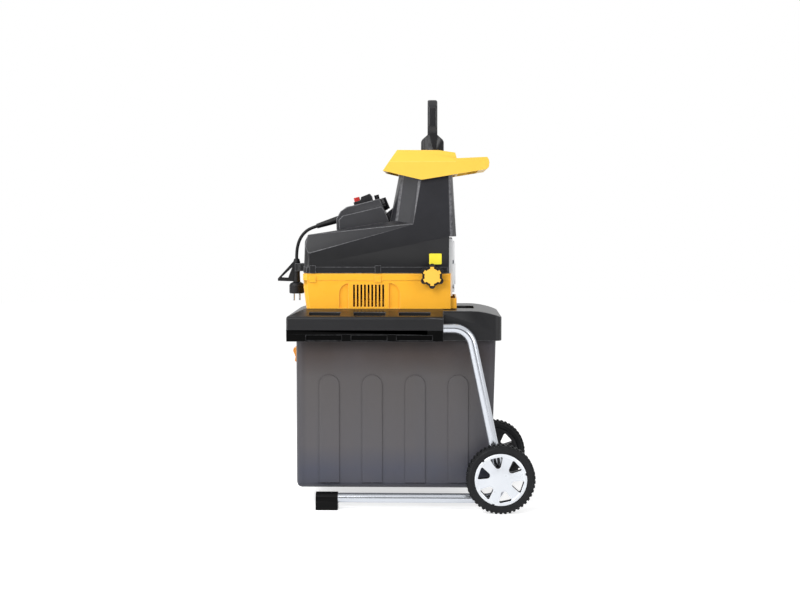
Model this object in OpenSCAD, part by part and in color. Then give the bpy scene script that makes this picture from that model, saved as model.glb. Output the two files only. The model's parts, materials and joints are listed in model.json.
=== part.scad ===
// Quiet drum garden shredder standing on a wheeled collection box.
// Millimetres, +Z up. x runs from the front end of the deck (motor end) to the wheels,
// y across the machine with the setting knob on the -y side. One shift at the end centres it.

/* [Wheels and frame] */
// Outer diameter of the tyres
wheel_d = 176; // [170:1:182]
// Width of the tyres
wheel_w = 42; // [38:1:48]
// Diameter of the hub caps and of the rim seat
hubcap_d = 134; // [124:1:136]
// Diameter of the axle
axle_d = 12; // [10:0.5:14]
// Distance from the front end of the deck to the axle
axle_reach = 548; // [540:1:560]
// Diameter of the frame tubes
tube_d = 25; // [22:0.5:26]
// Wall of the frame tubes
tube_wall = 1.5; // [1.2:0.1:2.5]
// Distance of the tube middles from the sides of the deck
tube_inset = 16.5; // [15.5:0.5:17.5]
// Height of the tube sockets above the lower edge of the deck
tube_socket_h = 33.5; // [30:0.5:36]
// Height of the lower tube run
tube_low_z = 30; // [26:1:34]
// Reach of the upper tube corner from the front end of the deck
tube_corner = 468; // [462:1:476]
// Bend radius at the upper corner
bend_top_r = 50; // [44:1:58]
// Bend radius behind the wheel
bend_low_r = 38; // [34:1:42]
// Length of the foot caps
foot_l = 57; // [45:1:70]
// Outer diameter of the round part of the foot caps
foot_d = 31; // [29:0.5:34]

/* [Deck] */
// Length of the front section that carries the machine
deck_body_l = 402; // [396:1:408]
// Width of the front section
deck_w = 396; // [394:1:402]
// Overall length of the deck
deck_l = 552; // [546:1:560]
// Width of the rear block
deck_end_w = 334; // [326:1:338]
// Height of the lower edge above the ground
deck_low_z = 435; // [425:1:445]
// Height of the outer side walls
deck_edge_h = 63; // [60:0.5:67]
// Height from the lower edge to the platform the machine stands on
deck_h = 79; // [77:0.5:83]
// Width of the platform
deck_top_w = 236; // [232:1:246]
// Skin thickness
deck_wall = 3; // [2.5:0.1:4]

/* [Collection box] */
// Length at the rim
box_l = 518; // [508:1:520]
// Loss of length from the rim to the floor
box_draft = 11; // [6:1:16]
// Width of the box
box_w = 300; // [290:1:302]
// Height of the box floor above the ground
box_floor_z = 48; // [44:1:60]
// Wall thickness
box_wall = 3; // [2.4:0.1:4]
// Width of the arched flutes
flute_w = 52; // [44:1:60]
// Height of the flute tops above the ground
flute_top_z = 345; // [330:1:360]
// Spacing of the flutes
flute_pitch = 111.4; // [106:0.1:116]
// Upward travel of the latch
latch_travel = 10; // [6:0.5:12]

/* [Machine housing] */
// Width of base and cover
shell_w = 230; // [226:1:234]
// Wall of base and cover
shell_wall = 3; // [2.5:0.1:3.5]
// Height of the base
base_h = 92; // [90:0.5:94]
// Number of air slots on each side
slot_count = 9; // [6:1:10]
// Width of one air slot
slot_w = 5; // [3.5:0.1:6]
// Spacing of the air slots
slot_pitch = 9.5; // [8.5:0.1:10]
// Height of the cover with its tower
cover_h = 260; // [256:0.5:262]

/* [Hopper and plunger] */
// Height of the hopper rim above the tower
hopper_h = 56; // [54:0.5:60]
// Width of the hopper
hopper_w = 264; // [258:1:280]
// Wall of the hopper
hopper_wall = 3; // [2.5:0.1:4]
// Clear width of the feed chute along the drum
chute_l = 72; // [68:1:73]
// Clear width of the feed chute across the drum, at the top
chute_w = 144; // [130:1:150]
// Thickness of the plunger body
plunger_t = 60; // [50:1:64]
// Width of the plunger body
plunger_w = 90; // [70:1:96]
// Width of the plunger grip
grip_w = 104; // [90:1:116]
// Height of the plunger grip above the hopper rim
grip_rise = 139; // [130:1:160]

/* [Cutting unit] */
// Diameter over the drum teeth
drum_d = 76; // [70:1:77]
// Number of drum teeth
drum_teeth = 8; // [6:1:10]
// Depth of the drum teeth
tooth_h = 9; // [6:0.5:11]
// Diameter of the drum shaft
drum_shaft_d = 20; // [17:0.5:22]
// Thickness of the counter plate
plate_t = 20; // [14:0.5:20]
// Diameter of the setting spindle
spindle_d = 12; // [10:0.5:14]
// Diameter over the knob lobes
knob_d = 65; // [56:1:72]
// Number of knob lobes
knob_lobes = 6; // [5:1:8]

/* [Drive] */
// Teeth of both pinions
pinion_n = 13; // [12:1:14]
// Teeth of the gear on the idler shaft
idler_n = 65; // [60:1:66]
// Teeth of the gear on the drum shaft
output_n = 78; // [74:1:80]
// Module of the fast gear pair
fast_m = 1.25; // [1.2:0.05:1.3]
// Module of the slow gear pair
slow_m = 1.75; // [1.7:0.05:1.8]
// Outer diameter of the motor frame
motor_d = 130; // [120:1:132]
// Diameter of the motor shaft
motor_shaft_d = 17; // [14:0.5:18]
// Diameter of the rotor
rotor_d = 65; // [56:0.5:66]

/* [Switches and cord] */
// Width of the switch console
console_w = 120; // [100:1:140]
// Travel of the push buttons
button_travel = 3; // [2:0.5:3.5]
// Diameter of the direction selector
selector_d = 34; // [28:1:36]
// Diameter of the cord
cord_d = 8.5; // [7:0.1:9.5]

/* [Hidden] */
$fn = 48;

// Clearances: seated faces, running shafts, sliding pieces
seat = 0.02;
run = 0.05;
slide = 0.4;

// Heights of the stack: deck, base, cover, hopper, plunger
tube_top_z = deck_low_z + tube_socket_h;
deck_edge_z = deck_low_z + deck_edge_h;
deck_top_z = deck_low_z + deck_h;
seam_z = deck_top_z + base_h;
tower_top_z = seam_z + cover_h;
rim_z = tower_top_z + hopper_h;
grip_z = rim_z + grip_rise;

axle_z = wheel_d / 2;
overall_l = axle_reach + wheel_d / 2;
tube_y = deck_w / 2 - tube_inset;
wheel_y = tube_y + tube_d / 2 + 4;
wheel_out = wheel_y + wheel_w;
rim_r = hubcap_d / 2;
hub_r = 14;
hub_end = wheel_out - 12;
window_angle = -18;
notch_angle = 13;
lug_count = 46;
lug_h = 3;

// Frame tube path, as corner points and tangent lengths
leg_angle = atan((axle_reach - tube_corner) / (tube_top_z - axle_z));
t_top = bend_top_r * tan((90 - leg_angle) / 2);
t_low = bend_low_r * tan((90 + leg_angle) / 2);
low_corner = axle_reach + (axle_z - tube_low_z) * tan(leg_angle);
leg_start = [tube_corner + t_top * sin(leg_angle), tube_top_z - t_top * cos(leg_angle)];
leg_end = [low_corner - t_low * sin(leg_angle), tube_low_z + t_low * cos(leg_angle)];
socket_depth = 38;
socket_x = deck_body_l - socket_depth;
foot_x = 74;
foot_end = 3;
foot_pad_w = 34;
tube_x0 = socket_x + 0.5;
tube_x1 = foot_x + foot_end + 0.2;
bend_swell = 0.06;

// Deck
cheek_in = tube_y - tube_d / 2 - 5;
hip_l = 40;
rail_w = 12;
rail_gap = 0.4;
pocket_x = 56;
pocket_l = 81;
pocket_pitch = 115.8;
pocket_y0 = deck_w / 2 - 48;
pocket_y1 = deck_w / 2 - 8;
pocket_z = deck_edge_z + (deck_h - deck_edge_h) * 16 / (deck_w - deck_top_w);
groove_z = deck_low_z + 19;
groove_h = 9;
end_bow_x = 470;
end_bow_r = 214;
panel_x = 51;
panel_l = 91;
grip_x0 = 436;
grip_x1 = 484;
grip_hole_w = 110;
drop_y0 = -38;
drop_y1 = 62;

// Collection box
box_x = 20;
box_top_z = deck_low_z + 9;
box_flange_t = 4;
box_corner_r = 20;
flute_x = 106.4;
flute_h = 3;
latch_z0 = deck_low_z - 69;
latch_z1 = deck_low_z - 27;
latch_w = 70;
latch_stem_w = 26;
latch_stem_h = 16;
latch_mid_z = (latch_z0 + latch_z1) / 2;

// Base and cover
shell_y = shell_w / 2;
cover_rear = 417;
tower_rear = 435.5;
base_rear = 421;
base_step = 437;
base_step_z = deck_top_z + 27;
band_z = seam_z - 18;
window_y = 87.5;
window_z0 = deck_top_z + 31.5;
window_z1 = deck_top_z + 183.5;
overhang_z = deck_top_z + 188;
slot_x = 169.5;
slot_z0 = deck_top_z + 5;
slot_z1 = deck_top_z + 63;
tab_x = [54, 224];
tab_w = 16;
slope_x = 276;
saddle_y = 40;
slope_z = deck_top_z + 228;
slope_front_x = 47;
slope_front_z = deck_top_z + 192;
slope = atan((slope_z - slope_front_z) / (slope_x - slope_front_x));

// Cutting unit, on one centre line with plunger and knob
cut_x = 373;
cut_z = deck_top_z + 86;
drum_y = 20;
drum_l = 70;
case_x = cut_x - drum_l / 2 - 2;
case_end = cut_x + drum_l / 2 + 7;
case_near = -58;
case_far = 62;
case_wall = 8;
case_top_z = cut_z + 50;
bearing_w = 8;
bearing_d = 42;
plate_travel = 6;
plate_face = drum_y - drum_d / 2 - plate_travel - 0.5;
plate_back = plate_face - plate_t;
plate_z0 = cut_z - 35;
plate_z1 = cut_z + 40;
end_cover_t = 11;
end_screw_y = [case_near - case_wall / 2, case_far + case_wall / 2];
end_screw_z = [cut_z - 30, cut_z + 35];
knob_back = -shell_y - 3;
knob_t = 29;

// Drive, seen along x: positions as [y, z]
drum_at = [drum_y, cut_z];
slow_a = slow_m * (pinion_n + output_n) / 2;
fast_a = fast_m * (pinion_n + idler_n) / 2;
slow_dir = 146.66;
fast_dir = -63.83;
idler_at = drum_at + slow_a * [cos(slow_dir), sin(slow_dir)];
motor_at = idler_at + fast_a * [cos(fast_dir), sin(fast_dir)];
pressure = 25;
backlash = 0.3;
box_end_x = 326;
box_cavity_x = 258;
box_plate_x = 250;
fast_x = 263;
fast_w = 12;
slow_x = 283;
slow_w = 20;
output_case_r = slow_m * output_n / 2 + 9.8;
idler_case_r = fast_m * idler_n / 2 + 9.4;
box_skin = 4.5;
idler_shaft_d = 12;
motor_x0 = 110;
stator_x0 = 132;
stator_x1 = 222;
motor_bearing_d = 40;
motor_bearing_w = 12;
capacitor_x = 70;
capacitor_d = 40;

// Hopper and plunger
chute_x0 = cut_x - chute_l / 2;
chute_x1 = cut_x + chute_l / 2;
chute_y = chute_w / 2;
chute_wall = 2.5;
web_z = tower_top_z + 0.3;
hopper_y = hopper_w / 2;
funnel_rim_y = hopper_y - 22;
funnel_slope = (rim_z - 5 - web_z) / (funnel_rim_y - chute_y);
hopper_low_x = 345.5;
hopper_low_z = tower_top_z - 17.5;
hopper_front_x = 245;
hopper_brow_x = 282;
hopper_crown_x = 390;
hopper_back_x = 436;
hopper_cut_z = hopper_low_z - 50;
handle_gap = [439, 492];
handle_end = 520;
fold_z = rim_z - 27;
grip_t = 26;
shoulder_z = rim_z + 32;
neck_z = shoulder_z + 15;
wing_y0 = chute_y + 3;
wing_y1 = funnel_rim_y - 12;
wing_z = web_z - 1 + slide;
plunger_low_z = tower_top_z - 96;

// Switch console, on the slope of the cover
panel_tilt = 5.4;
boot_drop = 17.5;
boot_at = [119, slope_z + 3.5];
boot_l = 58;
boot_r = 9.5;
boot_tip_r = 6.5;

// Plug and cord, in the plane y = 0, with the cord's heights taken from the platform
plug_x = 9;
plug_z = seam_z - 58;
cord_pts = [[63.7, 214], [57, 211.7], [50, 209.1], [43.5, 206], [37.5, 202.3], [32, 197.8],
    [27, 192.6], [22.5, 186.6], [18.6, 180], [15.5, 173], [13.1, 165.6], [11.3, 158],
    [10.1, 150.3], [9.4, 142.5], [9, 134.7], [9, 127]];
cord_sides = 10;

// Lower edge of hopper and pull handle
function hopper_low(x) = hopper_low_z + 0.163 * (x - hopper_low_x);

// Points on an arc round c, in n steps
function arc(c, r, a0, a1, n) =
    [for (i = [0 : n]) c + r * [cos(a0 + (a1 - a0) * i / n), sin(a0 + (a1 - a0) * i / n)]];

// Wheel window: a rounded triangle pointing at the hub
win_in = [rim_r - 29.5, 0];
win_out = [rim_r - 13, 12.2];
win_q_in = 8;
win_q_out = 3.4;
win_nu = atan2(win_out[1], win_out[0] - win_in[0])
    + acos((win_q_in - win_q_out) / norm(win_out - win_in));
window_pts = concat(arc(win_in, win_q_in, win_nu, 360 - win_nu, 8),
    arc([win_out[0], -win_out[1]], win_q_out, -win_nu, 0, 6),
    arc(win_out, win_q_out, 0, win_nu, 6));

// Tread lugs: a toothed ring outline
function lug_pts(turn) = [for (i = [0 : lug_count - 1]) each
    let (a = (i + turn) * 360 / lug_count, b = 360 / lug_count)
    [for (p = [[axle_z - lug_h - 1, -0.32], [axle_z, -0.24], [axle_z, 0.24],
            [axle_z - lug_h - 1, 0.32]])
        p[0] * [cos(a + p[1] * b), sin(a + p[1] * b)]]];

// Involute tooth: half angle of the tooth at radius r
function inv(a) = tan(a) * 180 / PI - a;
function half_angle(n, m, r) =
    let (rp = m * n / 2, rb = rp * cos(pressure))
    90 / n - backlash / 2 / rp * 180 / PI + inv(pressure) - (r > rb ? inv(acos(rb / r)) : 0);
function gear_pts(n, m) =
    let (rp = m * n / 2, rb = rp * cos(pressure), r0 = rp - 1.25 * m,
        rs = [r0, max(rb, r0 + 0.1), rp - 0.2 * m, rp + 0.4 * m, rp + m])
    [for (i = [0 : n - 1]) each concat(
        [for (k = [0 : 4]) rs[k] * [cos(i * 360 / n - half_angle(n, m, rs[k])),
            sin(i * 360 / n - half_angle(n, m, rs[k]))]],
        [for (k = [4 : -1 : 0]) rs[k] * [cos(i * 360 / n + half_angle(n, m, rs[k])),
            sin(i * 360 / n + half_angle(n, m, rs[k]))]])];

// Drum section: hooked teeth with a steep cutting face
drum_root = drum_d / 2 - tooth_h;
drum_pts = [for (i = [0 : drum_teeth - 1]) each
    let (a = i * 360 / drum_teeth, b = 360 / drum_teeth)
    [for (p = [[drum_root, 0], [drum_d / 2, 0.04], [drum_d / 2, 0.2],
            [drum_root + tooth_h * 0.45, 0.42], [drum_root, 0.72]])
        p[0] * [cos(a + p[1] * b), sin(a + p[1] * b)]]];

// Swept tube of the cord
function cord_dir(i) = let (p = cord_pts[max(i - 1, 0)], q = cord_pts[min(i + 1, len(cord_pts) - 1)])
    (q - p) / norm(q - p);
cord_rings = [for (i = [0 : len(cord_pts) - 1]) each [for (k = [0 : cord_sides - 1])
    let (d = cord_dir(i), turn = 360 * k / cord_sides,
        c = cord_d / 2 * cos(turn), s = cord_d / 2 * sin(turn))
    [cord_pts[i][0] - d[1] * c, s, deck_top_z + cord_pts[i][1] + d[0] * c]]];
cord_faces = concat(
    [for (i = [0 : len(cord_pts) - 2]) each [for (k = [0 : cord_sides - 1])
        let (j = (k + 1) % cord_sides, n = cord_sides)
        [i * n + k, i * n + j, (i + 1) * n + j, (i + 1) * n + k]]],
    [[for (k = [cord_sides - 1 : -1 : 0]) k]],
    [[for (k = [0 : cord_sides - 1]) (len(cord_pts) - 1) * cord_sides + k]]);

module along_x(x0, x1, d) {
    translate([x0, 0, 0])
        rotate([0, 90, 0])
            cylinder(d = d, h = x1 - x0);
}

module along_y(y0, y1, d) {
    translate([0, y0, 0])
        rotate([-90, 0, 0])
            cylinder(d = d, h = y1 - y0);
}

module slab_xz(pts, y0, y1) {
    translate([0, y1, 0])
        rotate([90, 0, 0])
            linear_extrude(y1 - y0)
                polygon(pts);
}

module slab_yz(pts, x0, x1) {
    translate([x0, 0, 0])
        rotate([90, 0, 90])
            linear_extrude(x1 - x0)
                polygon(pts);
}

module block(x0, x1, y0, y1, z0, z1) {
    translate([x0, y0, z0])
        cube([x1 - x0, y1 - y0, z1 - z0]);
}

module at_yz(p) {
    translate([0, p[0], p[1]])
        children();
}

// Round plate with the outline of both gear housings
module gear_outline(x0, x1, less) {
    at_yz(drum_at)
        along_x(x0, x1, 2 * (output_case_r - less));
    at_yz(idler_at)
        along_x(x0, x1, 2 * (idler_case_r - less));
}

module gear(n, m, x0, x1, turn) {
    translate([x0, 0, 0])
        rotate([90, 0, 90])
            linear_extrude(x1 - x0)
                rotate(turn)
                    polygon(gear_pts(n, m));
}

// Frame

module tube_section(more) {
    difference() {
        circle(d = tube_d + 2 * more);
        circle(d = tube_d - 2 * tube_wall - 2 * more);
    }
}

// Straight run from p, lapped into the bends at its start and end
module tube_straight(p, turn, l, lap0, lap1) {
    translate([p[0], 0, p[1]])
        rotate([0, turn, 0])
            translate([0, 0, -lap0])
                linear_extrude(l + lap0 + lap1)
                    tube_section(0);
}

module tube_bend(p, r, a0, turn) {
    translate([p[0], 0, p[1]])
        rotate([90, 0, 0])
            rotate([0, 0, a0])
                rotate_extrude(angle = turn)
                    translate([r, 0])
                        tube_section(bend_swell);
}

module frame_tube(side) {
    color("silver")
        translate([0, side * tube_y, 0])
            difference() {
                union() {
                    tube_straight([tube_x0, tube_top_z], 90, tube_corner - t_top - tube_x0, 0, 1);
                    tube_bend([tube_corner - t_top, tube_top_z - bend_top_r], bend_top_r, leg_angle,
                        90 - leg_angle);
                    tube_straight(leg_start, 180 - leg_angle, norm(leg_end - leg_start), 1, 1);
                    tube_bend([low_corner - t_low, tube_low_z + bend_low_r], bend_low_r, -90,
                        90 + leg_angle);
                    tube_straight([tube_x1, tube_low_z], 90, low_corner - t_low - tube_x1, 0, 1);
                }
                translate([axle_reach, 0, axle_z])
                    along_y(-tube_d, tube_d, axle_d + 2 * seat);
            }
}

module foot(side) {
    color("#1c1c1e")
        translate([0, side * tube_y, 0])
            difference() {
                union() {
                    translate([0, 0, tube_low_z])
                        along_x(foot_x, foot_x + foot_l, foot_d);
                    block(foot_x, foot_x + foot_l, -foot_pad_w / 2, foot_pad_w / 2, 0, tube_low_z - 8);
                    block(foot_x, foot_x + foot_l, -foot_d / 2, foot_d / 2, tube_low_z - 8, tube_low_z);
                }
                translate([0, 0, tube_low_z])
                    along_x(foot_x + foot_end, foot_x + foot_l + 1, tube_d + 2 * seat);
            }
}

module axle() {
    color("#b9bcc0")
        translate([axle_reach, 0, axle_z])
            along_y(-hub_end - 5, hub_end + 5, axle_d);
}

// Push nuts on both axle ends
module axle_retainers() {
    color("#8f9398")
        translate([axle_reach, 0, axle_z])
            for (side = [-1, 1])
                mirror([0, side < 0 ? 1 : 0, 0])
                    difference() {
                        along_y(hub_end + 0.5, hub_end + 3.5, axle_d + 9);
                        along_y(hub_end, hub_end + 4, axle_d + 2 * seat);
                    }
}

// Wheels: turned about y, inner face towards the frame tube

module at_wheel(side) {
    translate([axle_reach, 0, axle_z])
        mirror([0, side < 0 ? 1 : 0, 0])
            rotate([-90, 0, 0])
                children();
}

module wheel_windows(z0, z1) {
    for (i = [0 : 5])
        rotate([0, 0, -window_angle + 60 * i])
            translate([0, 0, z0])
                linear_extrude(z1 - z0)
                    polygon(window_pts);
}

module wheel_rim(side) {
    color("#1e1e20")
        at_wheel(side)
            difference() {
                rotate_extrude()
                    union() {
                        translate([rim_r - 6, wheel_y + 3])
                            square([6 - seat, wheel_w - 7]);
                        translate([hub_r - 1, wheel_y + 16])
                            square([rim_r - hub_r - 4, 9]);
                        translate([axle_d / 2 + run, wheel_y - 3.5])
                            square([hub_r - axle_d / 2 - run, hub_end - wheel_y + 3.5]);
                    }
                wheel_windows(wheel_y + 10, wheel_y + 30);
            }
}

module tyre(side) {
    color("#161618")
        at_wheel(side) {
            rotate_extrude()
                polygon([[rim_r + seat, wheel_y + 4], [rim_r + seat, wheel_out - 4],
                    [rim_r + 4, wheel_out - 1], [axle_z - 9, wheel_out], [axle_z - lug_h, wheel_out - 5],
                    [axle_z - lug_h, wheel_y + 5], [axle_z - 9, wheel_y], [rim_r + 4, wheel_y + 1]]);
            for (row = [0, 1])
                difference() {
                    translate([0, 0, wheel_y + 3 + row * (wheel_w / 2 - 2)])
                        linear_extrude(wheel_w / 2 - 4)
                            polygon(lug_pts(row / 2));
                    translate([0, 0, wheel_y])
                        cylinder(r = axle_z - lug_h - 4, h = wheel_w);
                }
        }
}

module hubcap(side) {
    color("#d4d7db")
        at_wheel(side)
            difference() {
                rotate_extrude()
                    polygon([[0, wheel_out - 1.5], [24, wheel_out - 1.5], [34, wheel_out - 3.8],
                        [rim_r - 0.5, wheel_out - 3.8], [rim_r - 0.5, wheel_out - 1.8],
                        [rim_r - 3, wheel_out - 0.5], [rim_r - 8, wheel_out - 0.5],
                        [rim_r - 10, wheel_out - 1.6], [34, wheel_out - 0.8], [22, wheel_out + 1.5],
                        [0, wheel_out + 2]]);
                wheel_windows(wheel_out - 6, wheel_out + 4);
                for (i = [0 : 2])
                    rotate([0, 0, -notch_angle + 120 * i])
                        translate([rim_r - 3.5, -3.2, wheel_out - 6])
                            cube([6, 6.4, 10]);
            }
}

// Deck

// Front section of the deck, with shoulders falling to the front and to both sides
module deck_body(less) {
    intersection() {
        slab_yz([[-deck_w / 2, deck_low_z], [deck_w / 2, deck_low_z], [deck_w / 2, deck_edge_z - less],
            [deck_top_w / 2, deck_top_z - less], [-deck_top_w / 2, deck_top_z - less],
            [-deck_w / 2, deck_edge_z - less]], less, deck_body_l);
        slab_xz([[less, deck_low_z], [deck_body_l, deck_low_z], [deck_body_l, deck_top_z],
            [hip_l, deck_top_z - less], [less, deck_edge_z - less]], -deck_w, deck_w);
    }
}

module deck_outer() {
    deck_body(0);
    intersection() {
        deck_end(deck_end_w / 2, deck_l, 20, deck_low_z);
        union() {
            block(deck_body_l - 1, end_bow_x, -deck_w, deck_w, 0, deck_top_z - 2);
            translate([end_bow_x, 0, deck_top_z - 2 - end_bow_r])
                along_y(-deck_w, deck_w, 2 * end_bow_r);
        }
    }
}

module deck_end(y, x1, r, z0) {
    translate([0, 0, z0]) {
        translate([deck_body_l - 1, -y, 0])
            cube([x1 - r - deck_body_l + 1, 2 * y, 100]);
        translate([x1 - r - 1, -y + r, 0])
            cube([r + 1, 2 * (y - r), 100]);
        for (s = [-1, 1])
            translate([x1 - r, s * (y - r), 0])
                cylinder(r = r, h = 100);
    }
}

module deck_inner() {
    intersection() {
        deck_body(deck_wall);
        block(0, deck_body_l, -cheek_in, cheek_in, 0, deck_top_z);
    }
    intersection() {
        deck_end(deck_end_w / 2 - deck_wall, deck_l - deck_wall, 17, deck_low_z);
        union() {
            block(deck_body_l - 2, end_bow_x, -deck_w, deck_w, 0, deck_top_z - 2 - deck_wall);
            translate([end_bow_x, 0, deck_top_z - 2 - end_bow_r])
                along_y(-deck_w, deck_w, 2 * (end_bow_r - deck_wall));
        }
    }
}

module deck() {
    color("#232326")
        difference() {
            union() {
                difference() {
                    deck_outer();
                    deck_inner();
                }
                for (s = [-1, 1])
                    mirror([0, s < 0 ? 1 : 0, 0])
                        block(deck_wall, deck_l - 20, cheek_in - rail_w, cheek_in + 1, deck_low_z,
                            box_top_z - box_flange_t - rail_gap);
                block(grip_x0 - deck_wall, grip_x1 + deck_wall, -grip_hole_w / 2 - deck_wall,
                    grip_hole_w / 2 + deck_wall, deck_top_z - 32, deck_top_z - 4);
                // pans under the shoulder pockets
                intersection() {
                    deck_body(0);
                    for (s = [-1, 1], i = [0 : 2])
                        mirror([0, s < 0 ? 1 : 0, 0])
                            block(pocket_x - deck_wall + i * pocket_pitch,
                                pocket_x + pocket_l + deck_wall + i * pocket_pitch,
                                pocket_y0 - deck_wall, cheek_in + 1, pocket_z - deck_wall, deck_top_z);
                }
            }
            // way out for the box at the front
            block(-1, deck_wall + 1, -cheek_in, cheek_in, deck_low_z - 1, box_top_z + 5);
            // drop opening under the cutting unit, grip recess
            block(case_x, cut_x + 39, drop_y0, drop_y1, deck_top_z - 20, deck_top_z + 1);
            block(grip_x0, grip_x1, -grip_hole_w / 2, grip_hole_w / 2, deck_top_z - 29, deck_top_z + 1);
            for (s = [-1, 1])
                mirror([0, s < 0 ? 1 : 0, 0]) {
                    translate([0, tube_y, tube_top_z])
                        along_x(socket_x, deck_body_l + 1, tube_d + 2 * seat);
                    // shadow groove, lower panels and shoulder pockets
                    block(-1, socket_x - 4, deck_w / 2 - 3, deck_w / 2 + 1, groove_z, groove_z + groove_h);
                    for (i = [0 : 2]) {
                        block(panel_x + i * pocket_pitch, panel_x + panel_l + i * pocket_pitch,
                            deck_w / 2 - 5, deck_w / 2 + 1, deck_low_z + 4, groove_z - 3);
                        block(pocket_x + i * pocket_pitch, pocket_x + pocket_l + i * pocket_pitch,
                            pocket_y0, pocket_y1 + 1, pocket_z, deck_top_z + 1);
                    }
                }
            deck_screw_holes();
        }
}

module deck_screw_holes() {
    for (x = [70, 300], y = [-88, 88])
        translate([x, y, deck_top_z - 10])
            cylinder(d = 5 + 2 * seat, h = 20);
}

module deck_screws() {
    color("#7d8085")
        for (x = [70, 300], y = [-88, 88])
            translate([x, y, 0]) {
                translate([0, 0, deck_top_z - deck_wall - 4])
                    cylinder(d = 10, h = 4);
                translate([0, 0, deck_top_z - deck_wall - 1])
                    cylinder(d = 5, h = 2 * deck_wall + 1);
            }
}

// Collection box

module box_form(less, z1) {
    x0 = box_x + less;
    x1 = box_x + box_l - less;
    xl = x1 - box_draft;
    y = box_w / 2 - less;
    z0 = box_floor_z + less;
    r = box_corner_r - less;
    intersection() {
        slab_xz(concat(arc([x0 + r, z0 + r], r, 180, 270, 6), arc([xl - r, z0 + r], r, -90, 0, 6),
            [[x1, z1], [x0, z1]]), -box_w, box_w);
        slab_yz(concat(arc([-y + r, z0 + r], r, 180, 270, 6), arc([y - r, z0 + r], r, -90, 0, 6),
            [[y, z1], [-y, z1]]), 0, box_x + box_l + 50);
        linear_extrude(z1)
            box_rim(x0, x1, y, r);
    }
}

module collection_box() {
    color("#4b4c50")
        difference() {
            union() {
                box_form(0, box_top_z);
                translate([0, 0, box_top_z - box_flange_t])
                    linear_extrude(box_flange_t)
                        box_rim(box_x, box_x + box_l, cheek_in - 3, 8);
                for (s = [-1, 1], i = [0 : 3])
                    mirror([0, s < 0 ? 1 : 0, 0])
                        flute(flute_x + i * flute_pitch);
            }
            box_form(box_wall, box_top_z + 1);
            block(box_x - 1, box_x + box_wall + 1, -latch_stem_w / 2 - slide, latch_stem_w / 2 + slide,
                latch_mid_z - latch_stem_h / 2 - slide,
                latch_mid_z + latch_stem_h / 2 + latch_travel + slide);
        }
}

module box_rim(x0, x1, y, r) {
    translate([x0 + r, -y])
        square([x1 - x0 - 2 * r, 2 * y]);
    translate([x0, -y + r])
        square([x1 - x0, 2 * (y - r)]);
    for (p = [x0 + r, x1 - r], s = [-1, 1])
        translate([p, s * (y - r)])
            circle(r = r);
}

module flute(x) {
    translate([x, box_w / 2 + flute_h, 0])
        rotate([90, 0, 0])
            linear_extrude(flute_h + 1) {
                translate([0, flute_top_z - flute_w / 2])
                    circle(d = flute_w);
                translate([-flute_w / 2, box_floor_z + 14])
                    square([flute_w, flute_top_z - flute_w / 2 - box_floor_z - 14]);
            }
}

// Slides up on the front wall of the box: grip, stem through the slot, inner plate, bolt
module box_latch() {
    color("#e2701d") {
        slab_xz([[box_x - 0.5, latch_z0], [box_x - 0.5, latch_z1], [box_x - 6, latch_z1],
            [box_x - 17, latch_z1 - 5], [box_x - 18.5, latch_z1 - 12], [box_x - 12, latch_z0 + 14],
            [box_x - 14, latch_z0 + 3], [box_x - 10, latch_z0]], -latch_w / 2, latch_w / 2);
        block(box_x - 1, box_x + box_wall + 2.5, -latch_stem_w / 2, latch_stem_w / 2,
            latch_mid_z - latch_stem_h / 2, latch_mid_z + latch_stem_h / 2);
        block(box_x + box_wall + slide, box_x + box_wall + 3, -latch_stem_w / 2 - 6, latch_stem_w / 2 + 6,
            latch_mid_z - latch_stem_h / 2 - 5, latch_mid_z + latch_stem_h / 2 + 5);
        block(box_x - 6, box_x - 2, -12, 12, latch_z1 - 1, box_top_z + 4);
    }
}

// Safety switch that the latch bolt pushes when the box is locked
module box_safety_switch() {
    color("#2a2a2d") {
        block(deck_wall, 22, -14, 14, box_top_z + 17, box_top_z + 37);
        translate([box_x - 4, 0, box_top_z + 15])
            cylinder(d = 5, h = 3);
    }
}

// Base and cover

module base_form(less, floor_z) {
    hull() {
        for (q = [[0, 10], [3, 3], [10, 0]])
            slab_xz([[44 + q[0] + less, floor_z], [37 + q[0] + less, deck_top_z + 58],
                [37 + q[0] + less, seam_z + less],
                [base_rear - less, seam_z + less], [base_rear - less, floor_z]],
                -shell_y + q[1] + less, shell_y - q[1] - less);
    }
}

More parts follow.
